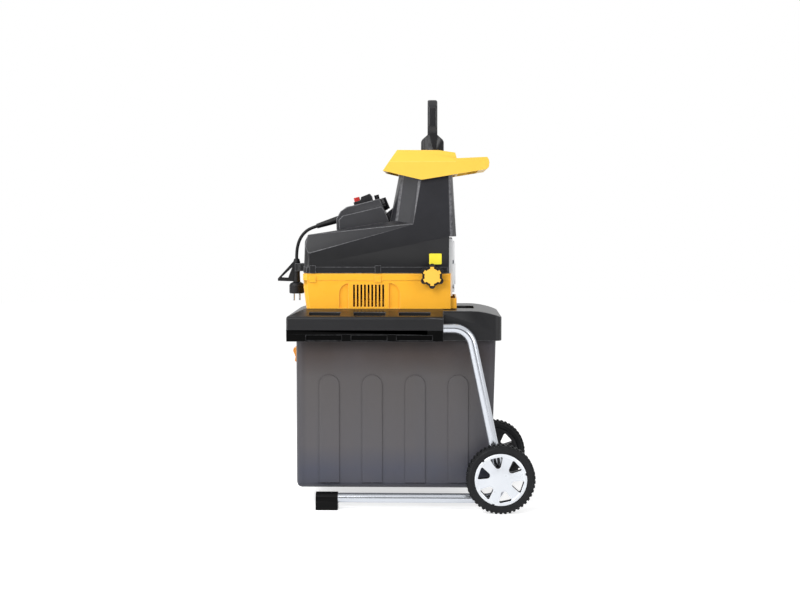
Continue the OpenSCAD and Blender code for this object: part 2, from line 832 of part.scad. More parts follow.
module base_housing() {
    color("#f29a1f")
        difference() {
            union() {
                difference() {
                    union() {
                        base_form(0, deck_top_z);
                        // rim band with clip tabs over the cover lip, rear foot step
                        intersection() {
                            base_form(-1.5, deck_top_z);
                            block(30, base_rear - 4, -shell_y - 5, shell_y + 5, band_z, seam_z - 1);
                        }
                        for (s = [-1, 1], x = tab_x)
                            mirror([0, s < 0 ? 1 : 0, 0])
                                block(x, x + tab_w, shell_y - 1, shell_y + 4, band_z - 5, seam_z - 6);
                    }
                    base_form(shell_wall, deck_top_z + shell_wall);
                }
                block(base_rear - shell_wall, base_step, -100, 100, deck_top_z, base_step_z);
                // backing of the air inlet niche
                for (s = [-1, 1])
                    mirror([0, s < 0 ? 1 : 0, 0])
                        block(125, 295, shell_y - 9, shell_y - 1, deck_top_z, band_z);
                // saddles for the motor, with a keel that shuts the air path below it
                for (x = [140, 205])
                    block(x, x + 5, motor_at[0] - 45, motor_at[0] + 45, deck_top_z, deck_top_z + 46);
                block(140, box_plate_x, motor_at[0] - 2.5, motor_at[0] + 2.5, deck_top_z, deck_top_z + 31);
            }
            // rear window for the cutter end cover
            block(cover_rear - 6, base_rear + 1, -window_y, window_y, window_z0, seam_z + 5);
            block(base_rear - 4, base_step - 4, -96, 96, deck_top_z + 4, base_step_z + 1);
            // drop opening and screw holes in the floor
            block(case_x, cut_x + 39, drop_y0, drop_y1, deck_top_z - 1, deck_top_z + 10);
            deck_screw_holes();
            at_yz(motor_at)
                along_x(130, box_cavity_x, motor_d + 2 * seat);
            for (s = [-1, 1])
                mirror([0, s < 0 ? 1 : 0, 0])
                    air_niche();
            bush_hole();
        }
}

// Passage for the spindle bush through the near wall
module bush_hole() {
    translate([cut_x, 0, cut_z])
        along_y(-shell_y - 3, -shell_y + 15, spindle_d + 10 + 2 * slide);
}

// Arched niche round the slotted air inlet
module air_niche() {
    difference() {
        translate([0, shell_y + 2, 0])
            rotate([90, 0, 0])
                linear_extrude(7)
                    union() {
                        translate([131, slot_z0 - 3])
                            square([158, 38]);
                        translate([157, slot_z0 - 3])
                            square([106, 64]);
                        for (x = [157, 263])
                            translate([x, slot_z0 + 35])
                                circle(r = 26);
                    }
        block(slot_x - 15, slot_x + slot_pitch * (slot_count - 1) + 15, shell_y - 6, shell_y, slot_z0 - 4,
            slot_z1 + 5);
    }
    for (i = [0 : slot_count - 1])
        block(slot_x + i * slot_pitch - slot_w / 2, slot_x + i * slot_pitch + slot_w / 2, shell_y - 10,
            shell_y + 3, slot_z0, slot_z1);
}

// Fork on the front wall that holds the neck of the plug
module plug_fork(z0, z1, x1) {
    difference() {
        block(plug_x - 3, x1, -15, 15, z0, z1);
        translate([plug_x, 0, z0 - 1])
            cylinder(r = 9.9, h = z1 - z0 + 2);
        block(plug_x - 4, plug_x, -9.9, 9.9, z0 - 1, z1 + 1);
    }
}

module cover_form(less) {
    hull() {
        slab_xz([[36 + less, seam_z - less], [39 + less, slope_front_z - 16 - less],
            [slope_front_x + less, slope_front_z - less],
            [slope_x, slope_z - less], [cover_rear - less, slope_z - less],
            [cover_rear - less, seam_z - less]],
            -85 + less, 85 - less);
        slab_xz([[39 + less, seam_z - less], [42 + less, slope_front_z - 30 - less],
            [slope_x + 44, slope_z - 3 - less],
            [cover_rear - less, slope_z - 3 - less], [cover_rear - less, seam_z - less]],
            -shell_y + 10 + less, shell_y - 10 - less);
        slab_xz([[47 + less, seam_z - less], [50 + less, slope_front_z - 48 - less],
            [slope_x + 52, slope_z - 7 - less],
            [cover_rear - less, slope_z - 7 - less], [cover_rear - less, seam_z - less]],
            -shell_y + less, shell_y - less);
    }
}

module tower_form(less, z0, z1) {
    hull() {
        for (z = [z0, z1])
            translate([0, 0, z])
                linear_extrude(0.01)
                    for (s = [-1, 1])
                        tower_section(less, s, z - slope_z - 3, z - overhang_z);
    }
}

// Half of the tower's plan, leaning in with the height over the slope and over the overhang
module tower_section(less, s, front_h, rear_h) {
    front = slope_x - 13.8 + front_h * 0.195 + less;
    corner = slope_x + 3 + front_h * 0.139;
    rear = tower_rear - rear_h * 0.063 - less;
    polygon([[front, 0], [front, s * (shell_y - 60 - less)], [corner + less, s * (shell_y - 30 - less)],
        [corner + 46.5, s * (shell_y - less)],
        [tower_rear - 11.5 - rear_h * 0.029 - less, s * (shell_y - less)],
        [rear, s * (shell_y - 20 - less)], [rear, 0]]);
}

// Step between the switch console and the foot of the tower
module saddle(less) {
    slab_xz([[slope_x - 14 + less, slope_z - 8], [slope_x - 24.5 + less, slope_z + 21 - less],
        [slope_x - 13 + less, slope_z + 30.5 - less], [slope_x, slope_z + 41 - less],
        [slope_x + 9 + less, slope_z + 41 - less], [slope_x + 9 + less, slope_z - 8]],
        -saddle_y + less, saddle_y - less);
}

module top_cover() {
    color("#2b2b2e")
        difference() {
            union() {
                cover_form(0);
                tower_form(0, overhang_z, tower_top_z);
                // lip band over the seam
                intersection() {
                    cover_form(-1.5);
                    block(30, cover_rear - 4, -shell_y - 5, shell_y + 5, seam_z + 1, seam_z + 17);
                }
                for (s = [-1, 1], x = tab_x)
                    mirror([0, s < 0 ? 1 : 0, 0])
                        block(x, x + tab_w, shell_y - 1, shell_y + 4, seam_z + 0.5, seam_z + 21);
                plug_fork(seam_z + 2, seam_z + 23, 42);
                saddle(0);
            }
            saddle(shell_wall);
            cover_form(shell_wall);
            tower_form(shell_wall, overhang_z + shell_wall, tower_top_z + 1);
            block(20, 440, -140, 140, seam_z - 10, seam_z);
            bush_hole();
            block(cover_rear - 6, cover_rear + 1, -window_y, window_y, seam_z - 1, window_z1);
        }
}

// Cutting unit

module cutter_housing() {
    color("#a9adb2")
        difference() {
            union() {
                block(box_end_x + 0.3, case_end, case_near - case_wall, case_far + case_wall,
                    deck_top_z + shell_wall, case_top_z);
                block(case_x + 4, case_end - 4, case_near - 20, case_far + 20, deck_top_z + shell_wall,
                    deck_top_z + shell_wall + 6);
            }
            difference() {
                block(case_x, case_end + 1, case_near, case_far, deck_top_z - 1, case_top_z + 1);
                // shelf under the counter plate, lid over it
                block(case_x - 1, case_end + 1, case_near - 1, plate_face - 4, plate_z0 - 6.4,
                    plate_z0 - slide);
                block(case_x - 1, case_end + 1, case_near - 1, drum_y - 42, case_top_z - 5, case_top_z + 1);
            }
            at_yz(drum_at) {
                along_x(box_end_x, case_x + 1, drum_shaft_d + 6);
                along_x(case_x - 8.7, case_x + 1, bearing_d + 2 * seat);
            }
            translate([cut_x, 0, cut_z])
                along_y(case_near - case_wall - 1, case_near + 1, spindle_d + 10 + 2 * seat);
            end_cover_holes();
        }
}

module end_cover_holes() {
    for (y = end_screw_y, z = end_screw_z)
        translate([0, y, z])
            along_x(case_end - 25, case_end + 20, 5 + 2 * seat);
}

module cutter_end_cover() {
    color("#d9dbdd")
        difference() {
            union() {
                block(case_end + 0.2, case_end + end_cover_t, -window_y + 0.5, window_y - 0.5,
                    window_z0 + 0.5, window_z1 - 0.5);
                // raised panel with the bearing boss
                block(case_end + 5, case_end + end_cover_t + 6, -window_y + 35, window_y - 35,
                    window_z0 + 9, window_z1 - 9);
                at_yz(drum_at)
                    along_x(case_end + 5, case_end + end_cover_t + 9, bearing_d + 14);
            }
            at_yz(drum_at)
                along_x(case_end - 1, case_end + 3 + bearing_w, bearing_d + 2 * seat);
            end_cover_holes();
        }
}

module end_cover_screws() {
    color("#7d8085")
        for (y = end_screw_y, z = end_screw_z)
            translate([0, y, z]) {
                along_x(case_end - 20, case_end + end_cover_t + 1, 5);
                translate([case_end + end_cover_t, 0, 0])
                    rotate([0, 90, 0])
                        cylinder(d = 10, h = 4, $fn = 6);
            }
}

module cutter_drum() {
    color("#6f747a")
        at_yz(drum_at)
            difference() {
                translate([cut_x - drum_l / 2, 0, 0])
                    rotate([90, 0, 90])
                        linear_extrude(drum_l)
                            polygon(drum_pts);
                along_x(cut_x - drum_l, cut_x + drum_l, drum_shaft_d + 2 * seat);
            }
}

module drum_shaft() {
    color("#b9bcc0")
        at_yz(drum_at)
            along_x(slow_x - 1, case_end + 2 + bearing_w, drum_shaft_d);
}

module ring(x0, x1, d_out, d_in) {
    difference() {
        along_x(x0, x1, d_out);
        along_x(x0 - 1, x1 + 1, d_in);
    }
}

module drum_bearings() {
    color("#9da1a6")
        at_yz(drum_at)
            for (x = [case_x - 8.5, case_end + 2.8])
                ring(x, x + bearing_w, bearing_d, drum_shaft_d + 2 * run);
}

module counter_plate() {
    color("#84888e")
        difference() {
            union() {
                block(case_x + slide, case_end - slide, plate_back, plate_face - 3, plate_z0, plate_z1);
                // serrated working face
                for (i = [0 : 8])
                    block(case_x + slide, case_end - slide, plate_face - 4, plate_face,
                        plate_z0 + 5 + 7.5 * i, plate_z0 + 10 + 7.5 * i);
            }
            translate([cut_x, 0, cut_z])
                along_y(plate_back - 1, plate_face - 5, spindle_d + 2 * run);
        }
}

module setting_spindle() {
    color("#b9bcc0")
        translate([cut_x, 0, cut_z]) {
            along_y(knob_back - knob_t + 8, plate_back + plate_t - 8, spindle_d);
            along_y(case_near + slide, case_near + 4, spindle_d + 8);
        }
}

module spindle_bush() {
    color("#9a7a3e")
        translate([cut_x, 0, cut_z])
            difference() {
                along_y(-shell_y - 1, case_near, spindle_d + 10);
                along_y(-shell_y - 2, case_near + 1, spindle_d + 2 * run);
            }
}

module setting_knob() {
    color("#1c1c1e")
        translate([cut_x, 0, cut_z])
            difference() {
                union() {
                    along_y(knob_back - knob_t + 4, knob_back - 6, knob_d - 14);
                    along_y(knob_back - 6, knob_back, knob_d - 30);
                    for (i = [0 : knob_lobes - 1])
                        rotate([0, 360 / knob_lobes * (i + 0.5), 0])
                            translate([knob_d / 2 - 8, 0, 0])
                                along_y(knob_back - knob_t + 4, knob_back - 7, 16);
                }
                along_y(knob_back - knob_t + 7, knob_back + 1, spindle_d + 2 * seat);
                knob_star(knob_back - knob_t + 3, knob_back - knob_t + 6.5, seat);
            }
}

module knob_star(y0, y1, more) {
    along_y(y0, y1, knob_d - 22 + 2 * more);
    for (i = [0 : knob_lobes - 1])
        rotate([0, 360 / knob_lobes * (i + 0.5), 0])
            block(0, knob_d / 2 - 6 + more, y0, y1, -5 - more, 5 + more);
}

module knob_inlay() {
    color("#f0a42c")
        translate([cut_x, 0, cut_z])
            knob_star(knob_back - knob_t, knob_back - knob_t + 6.5, 0);
}

// Drive

module drum_gear() {
    color("#8a8d92")
        at_yz(drum_at)
            difference() {
                gear(output_n, slow_m, slow_x, slow_x + slow_w, slow_dir);
                along_x(slow_x - 1, slow_x + slow_w + 1, drum_shaft_d + 2 * seat);
            }
}

// Idler shaft with its pinion cut from the solid
module idler_shaft() {
    color("#b9bcc0")
        at_yz(idler_at) {
            along_x(box_plate_x + 1, box_end_x - 1, idler_shaft_d);
            gear(pinion_n, slow_m, slow_x - 2, slow_x + slow_w + 2, slow_dir + 180 - 180 / pinion_n);
        }
}

module idler_gear() {
    color("#8a8d92")
        at_yz(idler_at)
            difference() {
                gear(idler_n, fast_m, fast_x, fast_x + fast_w, fast_dir);
                along_x(fast_x - 1, fast_x + fast_w + 1, idler_shaft_d + 2 * seat);
            }
}

module idler_bushes() {
    color("#9a7a3e")
        at_yz(idler_at) {
            ring(box_plate_x + 1, box_cavity_x, idler_shaft_d + 8, idler_shaft_d + 2 * run);
            ring(box_end_x - 6, box_end_x - 1, idler_shaft_d + 8, idler_shaft_d + 2 * run);
        }
}

module gearbox_case() {
    color("#a9adb2")
        difference() {
            union() {
                gear_outline(box_cavity_x, box_end_x, 0);
                block(box_cavity_x + 4, box_end_x - 4, drum_y - 40, drum_y + 40, deck_top_z + shell_wall,
                    deck_top_z + 31);
            }
            gear_outline(box_cavity_x - 1, box_end_x - 6, box_skin);
            at_yz(drum_at)
                along_x(box_end_x - 7, box_end_x + 1, drum_shaft_d + 4);
            at_yz(idler_at)
                along_x(box_end_x - 7, box_end_x - 1, idler_shaft_d + 8 + 2 * seat);
        }
}

module gearbox_plate() {
    color("#a9adb2")
        difference() {
            union() {
                gear_outline(box_plate_x, box_cavity_x, 0);
                at_yz(motor_at) {
                    along_x(box_plate_x, box_cavity_x, motor_d);
                    along_x(box_plate_x - motor_bearing_w, box_plate_x + 1, motor_bearing_d + 10);
                }
            }
            at_yz(motor_at) {
                along_x(box_plate_x - motor_bearing_w - 1, box_plate_x + 0.2, motor_bearing_d + 2 * seat);
                along_x(box_plate_x - 1, box_cavity_x + 1, motor_shaft_d + 4);
            }
            at_yz(idler_at)
                along_x(box_plate_x + 1, box_cavity_x + 1, idler_shaft_d + 8 + 2 * seat);
        }
}

module motor_frame() {
    color("#8c9096")
        at_yz(motor_at)
            difference() {
                along_x(motor_x0 - 6, box_plate_x, motor_d);
                along_x(motor_x0 + motor_bearing_w + 4, box_plate_x + 1, motor_d - 10);
                ring(motor_x0, motor_x0 + motor_bearing_w + 5, motor_d - 10, motor_bearing_d + 10);
                along_x(motor_x0, motor_x0 + motor_bearing_w + 5, motor_bearing_d + 2 * seat);
                along_x(motor_x0 - 7, motor_x0 + 1, motor_shaft_d + 4);
            }
}

module motor_stator() {
    color("#6a6d72")
        at_yz(motor_at)
            ring(stator_x0, stator_x1, motor_d - 10 - 2 * seat, rotor_d + 1.2);
}

module motor_windings() {
    color("#b0662e")
        at_yz(motor_at)
            for (x = [stator_x0 - 9, stator_x1])
                ring(x, x + 9, motor_d - 26, rotor_d + 8);
}

module motor_rotor() {
    color("#7c7f84")
        at_yz(motor_at)
            ring(stator_x0 - 2, stator_x1 + 2, rotor_d, motor_shaft_d + 2 * seat);
}

// Motor shaft with its pinion cut from the solid
module motor_shaft() {
    color("#b9bcc0")
        at_yz(motor_at) {
            along_x(74, fast_x - 3, motor_shaft_d);
            gear(pinion_n, fast_m, fast_x - 3, fast_x + fast_w + 2, fast_dir + 180 - 180 / pinion_n);
        }
}

module motor_bearings() {
    color("#9da1a6")
        at_yz(motor_at)
            for (x = [motor_x0, box_plate_x - motor_bearing_w])
                ring(x, x + motor_bearing_w, motor_bearing_d, motor_shaft_d + 2 * run);
}

module cooling_fan() {
    color("#3a3a3d")
        at_yz(motor_at)
            difference() {
                union() {
                    along_x(78, 100, motor_shaft_d + 12);
                    along_x(97, 100, motor_d - 20);
                    for (i = [0 : 7])
                        rotate([45 * i, 0, 0])
                            translate([80, 10, -1])
                                cube([18, motor_d / 2 - 21, 2]);
                }
                along_x(77, 101, motor_shaft_d + 2 * seat);
            }
}

module run_capacitor() {
    color("#c9ccd0")
        translate([0, shell_y - shell_wall - 32, deck_top_z + shell_wall + capacitor_d / 2])
            along_x(capacitor_x, capacitor_x + 2 * capacitor_d, capacitor_d);
}

// Hopper: hood round the tower top, funnel inside, pull handle at the rear

module hopper_form(less) {
    drop = 4 * less;
    intersection() {
        slab_xz([[hopper_front_x - 0.685 * drop + 1.2 * less, fold_z - 23 - drop],
            [hopper_brow_x + 0.515 * less, rim_z + 4 - less], [hopper_crown_x, rim_z + 3 - less],
            [hopper_back_x - 4 - less, rim_z - 3 - less],
            [hopper_back_x - less, rim_z - 18], [hopper_back_x - less, hopper_low(hopper_back_x) - drop],
            [hopper_low_x, hopper_low_z - drop]], -hopper_w, hopper_w);
        slab_yz([[-hopper_y + less, hopper_cut_z], [-hopper_y + less, fold_z],
            [-hopper_y + 13 + less, rim_z + 5], [hopper_y - 13 - less, rim_z + 5],
            [hopper_y - less, fold_z], [hopper_y - less, hopper_cut_z]], 0, overall_l);
    }
}

module funnel(more, z0, z1) {
    hull() {
        block(chute_x0 - more, chute_x1 + more, -chute_y - more, chute_y + more, z0, z0 + 1);
        block(293 - more, 424 + more, -funnel_rim_y - more, funnel_rim_y + more, rim_z - 6, z1);
    }
}

module hopper() {
    color("#fbd24a")
        difference() {
            union() {
                difference() {
                    hopper_form(0);
                    hopper_form(hopper_wall);
                }
                intersection() {
                    hopper_form(0);
                    funnel(hopper_wall, web_z, rim_z);
                }
                // web that rests on the tower
                intersection() {
                    hopper_form(0);
                    block(hopper_brow_x - 2, hopper_back_x - 2, -hopper_y, hopper_y, web_z,
                        web_z + hopper_wall);
                }
                pull_handle();
            }
            funnel(0, web_z - 1, rim_z + 10);
        }
}

module pull_handle() {
    difference() {
        slab_xz([[hopper_back_x - 3, hopper_low(hopper_back_x - 3)],
            [handle_end - 7, hopper_low(handle_end - 7)], [handle_end - 1.5, rim_z - 41],
            [handle_end, rim_z - 29], [handle_end - 2, rim_z - 20], [handle_end - 6, rim_z - 14.5],
            [hopper_back_x - 3, rim_z - 18]], -hopper_y, hopper_y);
        block(handle_gap[0], handle_gap[1], -hopper_y + 14, hopper_y - 14, hopper_cut_z, rim_z + 30);
        // hollow side arms
        for (s = [-1, 1])
            mirror([0, s < 0 ? 1 : 0, 0])
                block(hopper_back_x, handle_gap[1] - 2, hopper_y - 11, hopper_y - 3, hopper_cut_z,
                    rim_z - 22);
    }
}

module feed_chute() {
    color("#242427")
        difference() {
            slab_yz([[-chute_y - chute_wall, tower_top_z], [chute_y + chute_wall, tower_top_z],
                [case_far - 2 + chute_wall, case_top_z + 0.3], [drum_y - 40 - chute_wall, case_top_z + 0.3]],
                chute_x0 - chute_wall, chute_x1 + chute_wall);
            slab_yz([[-chute_y, tower_top_z + 1], [chute_y, tower_top_z + 1],
                [case_far - 2, case_top_z - 1], [drum_y - 40, case_top_z - 1]], chute_x0, chute_x1);
        }
}

module plunger() {
    color("#1b1b1d")
        difference() {
            union() {
                block(cut_x - plunger_t / 2, cut_x + plunger_t / 2, -plunger_w / 2, plunger_w / 2,
                    plunger_low_z, shoulder_z);
                slab_xz([[cut_x - plunger_t / 2, shoulder_z - 1], [cut_x + plunger_t / 2, shoulder_z - 1],
                    [cut_x + plunger_t / 2, shoulder_z], [cut_x + grip_t / 2, neck_z],
                    [cut_x - grip_t / 2, neck_z], [cut_x - plunger_t / 2, shoulder_z]],
                    -plunger_w / 2, plunger_w / 2);
                slab_yz([[-plunger_w / 2, neck_z - 1], [plunger_w / 2, neck_z - 1], [grip_w / 2, neck_z + 20],
                    [grip_w / 2, grip_z - 18], [grip_w / 2 - 18, grip_z], [-grip_w / 2 + 18, grip_z],
                    [-grip_w / 2, grip_z - 18], [-grip_w / 2, neck_z + 20]],
                    cut_x - grip_t / 2, cut_x + grip_t / 2);
                // stop wings that rest on the funnel
                slab_yz([[-wing_y1, wing_z + (wing_y1 - chute_y) * funnel_slope],
                    [-wing_y0, wing_z + (wing_y0 - chute_y) * funnel_slope],
                    [wing_y0, wing_z + (wing_y0 - chute_y) * funnel_slope],
                    [wing_y1, wing_z + (wing_y1 - chute_y) * funnel_slope],
                    [wing_y1, rim_z - 16], [-wing_y1, rim_z - 16]], cut_x - 8, cut_x + 8);
            }
            slab_yz([[-grip_w / 2 + 18, neck_z + 32], [grip_w / 2 - 18, neck_z + 32],
                [grip_w / 2 - 18, grip_z - 28], [grip_w / 2 - 24, grip_z - 24],
                [-grip_w / 2 + 24, grip_z - 24], [-grip_w / 2 + 18, grip_z - 28]],
                cut_x - grip_t, cut_x + grip_t);
        }
}

// Switches, in a frame on the slope of the cover

module on_slope() {
    translate([slope_x, 0, slope_z])
        rotate([0, -slope, 0])
            children();
}

module on_panel() {
    on_slope()
        translate([-106, 0, 58])
            rotate([0, -panel_tilt, 0])
                children();
}

module on_face() {
    on_slope()
        translate([-28, 0, 48.5])
            rotate([0, 90 - 13.6, 0])
                children();
}

module switch_console() {
    color("#262629")
        difference() {
            on_slope() {
                slab_xz([[-158, 0], [-154, 30], [-140, 48], [-122, 57], [-106, 58], [-32, 65], [-24, 32],
                    [-16, 0]],
                    -console_w / 2 + 6, console_w / 2 - 6);
                slab_xz([[-150, 0], [-148, 26], [-136, 36], [-106, 38], [-30, 44], [-24, 32], [-16, 0]],
                    -console_w / 2, console_w / 2);
            }
            on_panel()
                translate([66, 0, -8])
                    cylinder(d = 13 + 2 * slide, h = 20);
            on_face()
                translate([0, 0, -9])
                    cylinder(d = 8 + 2 * run, h = 20);
            translate([boot_at[0], 0, boot_at[1]])
                rotate([0, -90 - boot_drop, 0])
                    translate([0, 0, -16])
                        cylinder(r = boot_r + seat, h = 30);
        }
}

module switch_frame() {
    color("#18181a")
        on_panel()
            difference() {
                slab_xz([[3, 0], [3, 8], [23, 9], [26, 17], [50, 20], [54, 12], [54, 0]], -24, 24);
                for (s = [-1, 1])
                    translate([6 - slide, s * 11 - 9 - slide, 2])
                        cube([15 + 2 * slide, 18 + 2 * slide, 20]);
            }
}

module push_button(y, h) {
    on_panel()
        translate([6, y - 9, 2 + button_travel + slide])
            cube([15, 18, h - 2 - button_travel - slide]);
}

module stop_button() {
    color("#c8231f")
        push_button(-11, 19);
}

module start_button() {
    color("#2f9a46")
        push_button(11, 14);
}

module reset_button() {
    color("#141416")
        on_panel()
            translate([66, 0, -8 + button_travel + slide])
                cylinder(d = 13, h = 20 - button_travel);
}

module direction_selector() {
    color("#1a1a1c")
        on_face() {
            translate([0, 0, slide])
                cylinder(d = selector_d, h = 7);
            translate([-selector_d / 2 + 1, -5, 6])
                cube([selector_d - 2, 10, 8]);
            translate([0, 0, -8])
                cylinder(d = 8, h = 9);
        }
}

// Cord and plug

module cord_boot() {
    color("#1b1b1d")
        translate([boot_at[0], 0, boot_at[1]])
            rotate([0, -90 - boot_drop, 0]) {
                cylinder(r1 = boot_r, r2 = boot_tip_r, h = boot_l);
                translate([0, 0, -15])
                    cylinder(r = boot_r, h = 15);
            }
}

module power_cord() {
    color("#141416")
        polyhedron(points = cord_rings, faces = cord_faces, convexity = 4);
}

module plug() {
    color("#161618")
        difference() {
            union() {
                translate([plug_x, 0, plug_z])
                    rotate_extrude()
                        polygon([[0, 0], [18, 0], [20, 2], [20, 22], [17, 27], [9.5, 31], [8.6, 52],
                            [9.5, 84], [7, 93], [0, 93]]);
                // pull loop
                translate([plug_x, 0, plug_z])
                    difference() {
                        slab_xz([[-3, 92], [-50.7, 40], [-50.7, 33.5], [-8, 32]], -3.5, 3.5);
                        slab_xz([[-12, 70], [-41, 43], [-23, 42]], -5, 5);
                    }
            }
            plug_holes();
        }
}

module plug_holes() {
    translate([plug_x, 0, plug_z - 8])
        rotate([0, 0, 42])
            for (s = [-1, 1])
                translate([s * 9.5, 0, 0])
                    cylinder(d = 4.8 + 2 * seat, h = 16);
}

module plug_pins() {
    color("#c3c6ca")
        translate([plug_x, 0, plug_z - 19])
            rotate([0, 0, 42])
                for (s = [-1, 1])
                    translate([s * 9.5, 0, 0])
                        cylinder(d = 4.8, h = 26);
}

module place() {
    translate([-overall_l / 2, 0, 0])
        children();
}

place() deck();
place() deck_screws();
place() frame_tube(-1);  // frame_tube_left
place() frame_tube(1);  // frame_tube_right
place() foot(-1);  // foot_left
place() foot(1);  // foot_right
place() axle();
place() axle_retainers();
place() wheel_rim(-1);  // wheel_rim_left
place() wheel_rim(1);  // wheel_rim_right
place() tyre(-1);  // tyre_left
place() tyre(1);  // tyre_right
place() hubcap(-1);  // hubcap_left
place() hubcap(1);  // hubcap_right
place() collection_box();
place() box_latch();
place() box_safety_switch();
place() base_housing();
place() top_cover();
place() cutter_end_cover();
place() end_cover_screws();
place() hopper();
place() feed_chute();
place() plunger();
place() cutter_housing();
place() cutter_drum();
place() drum_shaft();
place() drum_bearings();
place() drum_gear();
place() idler_shaft();
place() idler_gear();
place() idler_bushes();
place() gearbox_case();
place() gearbox_plate();
place() motor_frame();
place() motor_stator();
place() motor_windings();
place() motor_rotor();
place() motor_shaft();
place() motor_bearings();
place() cooling_fan();
place() run_capacitor();
place() counter_plate();
place() setting_spindle();
place() spindle_bush();
place() setting_knob();
place() knob_inlay();
place() switch_console();
place() switch_frame();
place() start_button();
place() stop_button();
place() reset_button();
place() direction_selector();
place() cord_boot();
place() power_cord();
place() plug();
place() plug_pins();
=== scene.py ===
import json
import math

import bmesh
import bpy
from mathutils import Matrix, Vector


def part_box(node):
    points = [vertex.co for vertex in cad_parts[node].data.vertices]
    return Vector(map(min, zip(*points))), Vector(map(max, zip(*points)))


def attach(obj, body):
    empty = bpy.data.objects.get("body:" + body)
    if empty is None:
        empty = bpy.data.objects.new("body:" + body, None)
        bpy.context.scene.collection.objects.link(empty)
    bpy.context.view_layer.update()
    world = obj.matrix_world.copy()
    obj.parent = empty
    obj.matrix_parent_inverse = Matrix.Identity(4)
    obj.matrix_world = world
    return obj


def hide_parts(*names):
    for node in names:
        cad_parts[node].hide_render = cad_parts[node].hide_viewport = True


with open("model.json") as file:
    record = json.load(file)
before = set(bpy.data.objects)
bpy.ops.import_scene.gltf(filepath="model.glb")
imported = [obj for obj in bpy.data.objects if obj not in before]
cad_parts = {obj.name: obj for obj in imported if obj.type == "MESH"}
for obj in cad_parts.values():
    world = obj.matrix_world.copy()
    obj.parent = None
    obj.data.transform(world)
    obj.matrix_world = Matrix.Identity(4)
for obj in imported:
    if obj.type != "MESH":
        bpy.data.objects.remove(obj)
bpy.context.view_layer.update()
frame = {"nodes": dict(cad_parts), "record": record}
nodes = frame["nodes"]
bodies = frame["record"]["behaviour"]["bodies"]
bodyOf = {node: body for body, members in bodies.items() for node in members}
print("frame loaded,", len(nodes), "nodes")

# camera at the height of the cover, in front of the knob side
viewpoint = {
    "place": (0.0636, -3.800, 0.7562),
    "pitch": 3.403,
    "turn": 1.435,
    "lens": 63.83,
    "sensor": 36.0,
}


def addCamera(view):
    tilt = math.radians(90 - view["pitch"])
    turn = math.radians(view["turn"])
    bpy.ops.object.camera_add(location=view["place"], rotation=(tilt, 0, turn))
    camera = bpy.context.object
    camera.name = "sideCamera"
    camera.data.lens = view["lens"]
    camera.data.sensor_width = view["sensor"]
    bpy.context.scene.camera = camera


addCamera(viewpoint)
print("camera set")

# selecting and finishing by operator; lengths in metres, angles in degrees
shellRules = {
    "mergeGap": 0.00002,
    "flatAngle": 0.4,
    "creaseAngle": 14,
    "cornerAngle": 18,
    "room": 1.3,
    "flatWeight": 90,
    "shortest": 0.000001,
}
# material slots of a shell until markEdges: untouched faces, plain radii, radii with wear and a painted edge
# tone
flatSlot, roundSlot, paintedEdgeAndWearSlot = 0, 1, 2


def deselectAll():
    if bpy.context.mode != "OBJECT":
        bpy.ops.object.mode_set(mode="OBJECT")
    bpy.ops.object.select_all(action="DESELECT")


def makeActive(piece):
    deselectAll()
    piece.select_set(True)
    bpy.context.view_layer.objects.active = piece


def pickEdges(piece, wanted):
    # edit mode, with only the edges that the test accepts selected
    makeActive(piece)
    bpy.ops.object.mode_set(mode="EDIT")
    bpy.ops.mesh.select_mode(type="EDGE")
    bpy.ops.mesh.select_all(action="DESELECT")
    sheet = bmesh.from_edit_mesh(piece.data)
    count = 0
    for edge in sheet.edges:
        if len(edge.link_faces) == 2 and wanted(edge):
            edge.select_set(True)
            count += 1
    bmesh.update_edit_mesh(piece.data)
    return count


def middle(edge):
    return (edge.verts[0].co + edge.verts[1].co) / 2


def heading(edge):
    return (edge.verts[1].co - edge.verts[0].co).normalized()


def sharpness(edge):
    return math.degrees(edge.calc_face_angle(0.0))


def bevelPicked(count, width, segments, paintedEdgeAndWearOn=False):
    if count:
        bpy.ops.mesh.bevel(offset=width, segments=segments, profile=0.5, affect="EDGES",
                           offset_type="OFFSET", clamp_overlap=False,
                           material=paintedEdgeAndWearSlot if paintedEdgeAndWearOn else roundSlot)
    bpy.ops.object.mode_set(mode="OBJECT")


def creased(edge):
    # corners that got no radius stay crisp
    unrounded = all(face.material_index == flatSlot for face in edge.link_faces)
    return unrounded and sharpness(edge) > shellRules["creaseAngle"]


def smoothFinish(piece):
    pickEdges(piece, creased)
    bpy.ops.mesh.mark_sharp()
    bpy.ops.object.mode_set(mode="OBJECT")
    bpy.ops.object.shade_smooth()
    flatten = piece.modifiers.new("flatFaces", "WEIGHTED_NORMAL")
    flatten.keep_sharp = True
    flatten.weight = shellRules["flatWeight"]
    bpy.ops.object.modifier_apply(modifier=flatten.name)


def markEdges(piece):
    # radii with wear and a painted edge tone carry 1 in the attribute that the finishes read
    radius = piece.data.attributes.new("paintedEdgeAndWearMask", "FLOAT", "FACE")
    for polygon in piece.data.polygons:
        radius.data[polygon.index].value = float(polygon.material_index == paintedEdgeAndWearSlot)
        polygon.material_index = flatSlot


def shellCopy(nodeName, pieceName):
    # a merged copy of a CAD shell
    piece = bpy.data.objects.new(pieceName, nodes[nodeName].data.copy())
    bpy.context.scene.collection.objects.link(piece)
    piece.data.materials.clear()
    for slot in (flatSlot, roundSlot, paintedEdgeAndWearSlot):
        piece.data.materials.append(finishOf[nodeName][0])
    makeActive(piece)
    bpy.ops.mesh.customdata_custom_splitnormals_clear()
    bpy.ops.object.mode_set(mode="EDIT")
    bpy.ops.mesh.select_all(action="SELECT")
    bpy.ops.mesh.remove_doubles(threshold=shellRules["mergeGap"])
    bpy.ops.mesh.dissolve_limited(angle_limit=math.radians(shellRules["flatAngle"]))
    bpy.ops.object.mode_set(mode="OBJECT")
    return piece


def seat(piece, nodeName, finish, slotName):
    piece.data.materials.clear()
    piece.data.materials.append(finish)
    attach(piece, bodyOf[nodeName])
    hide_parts(nodeName)


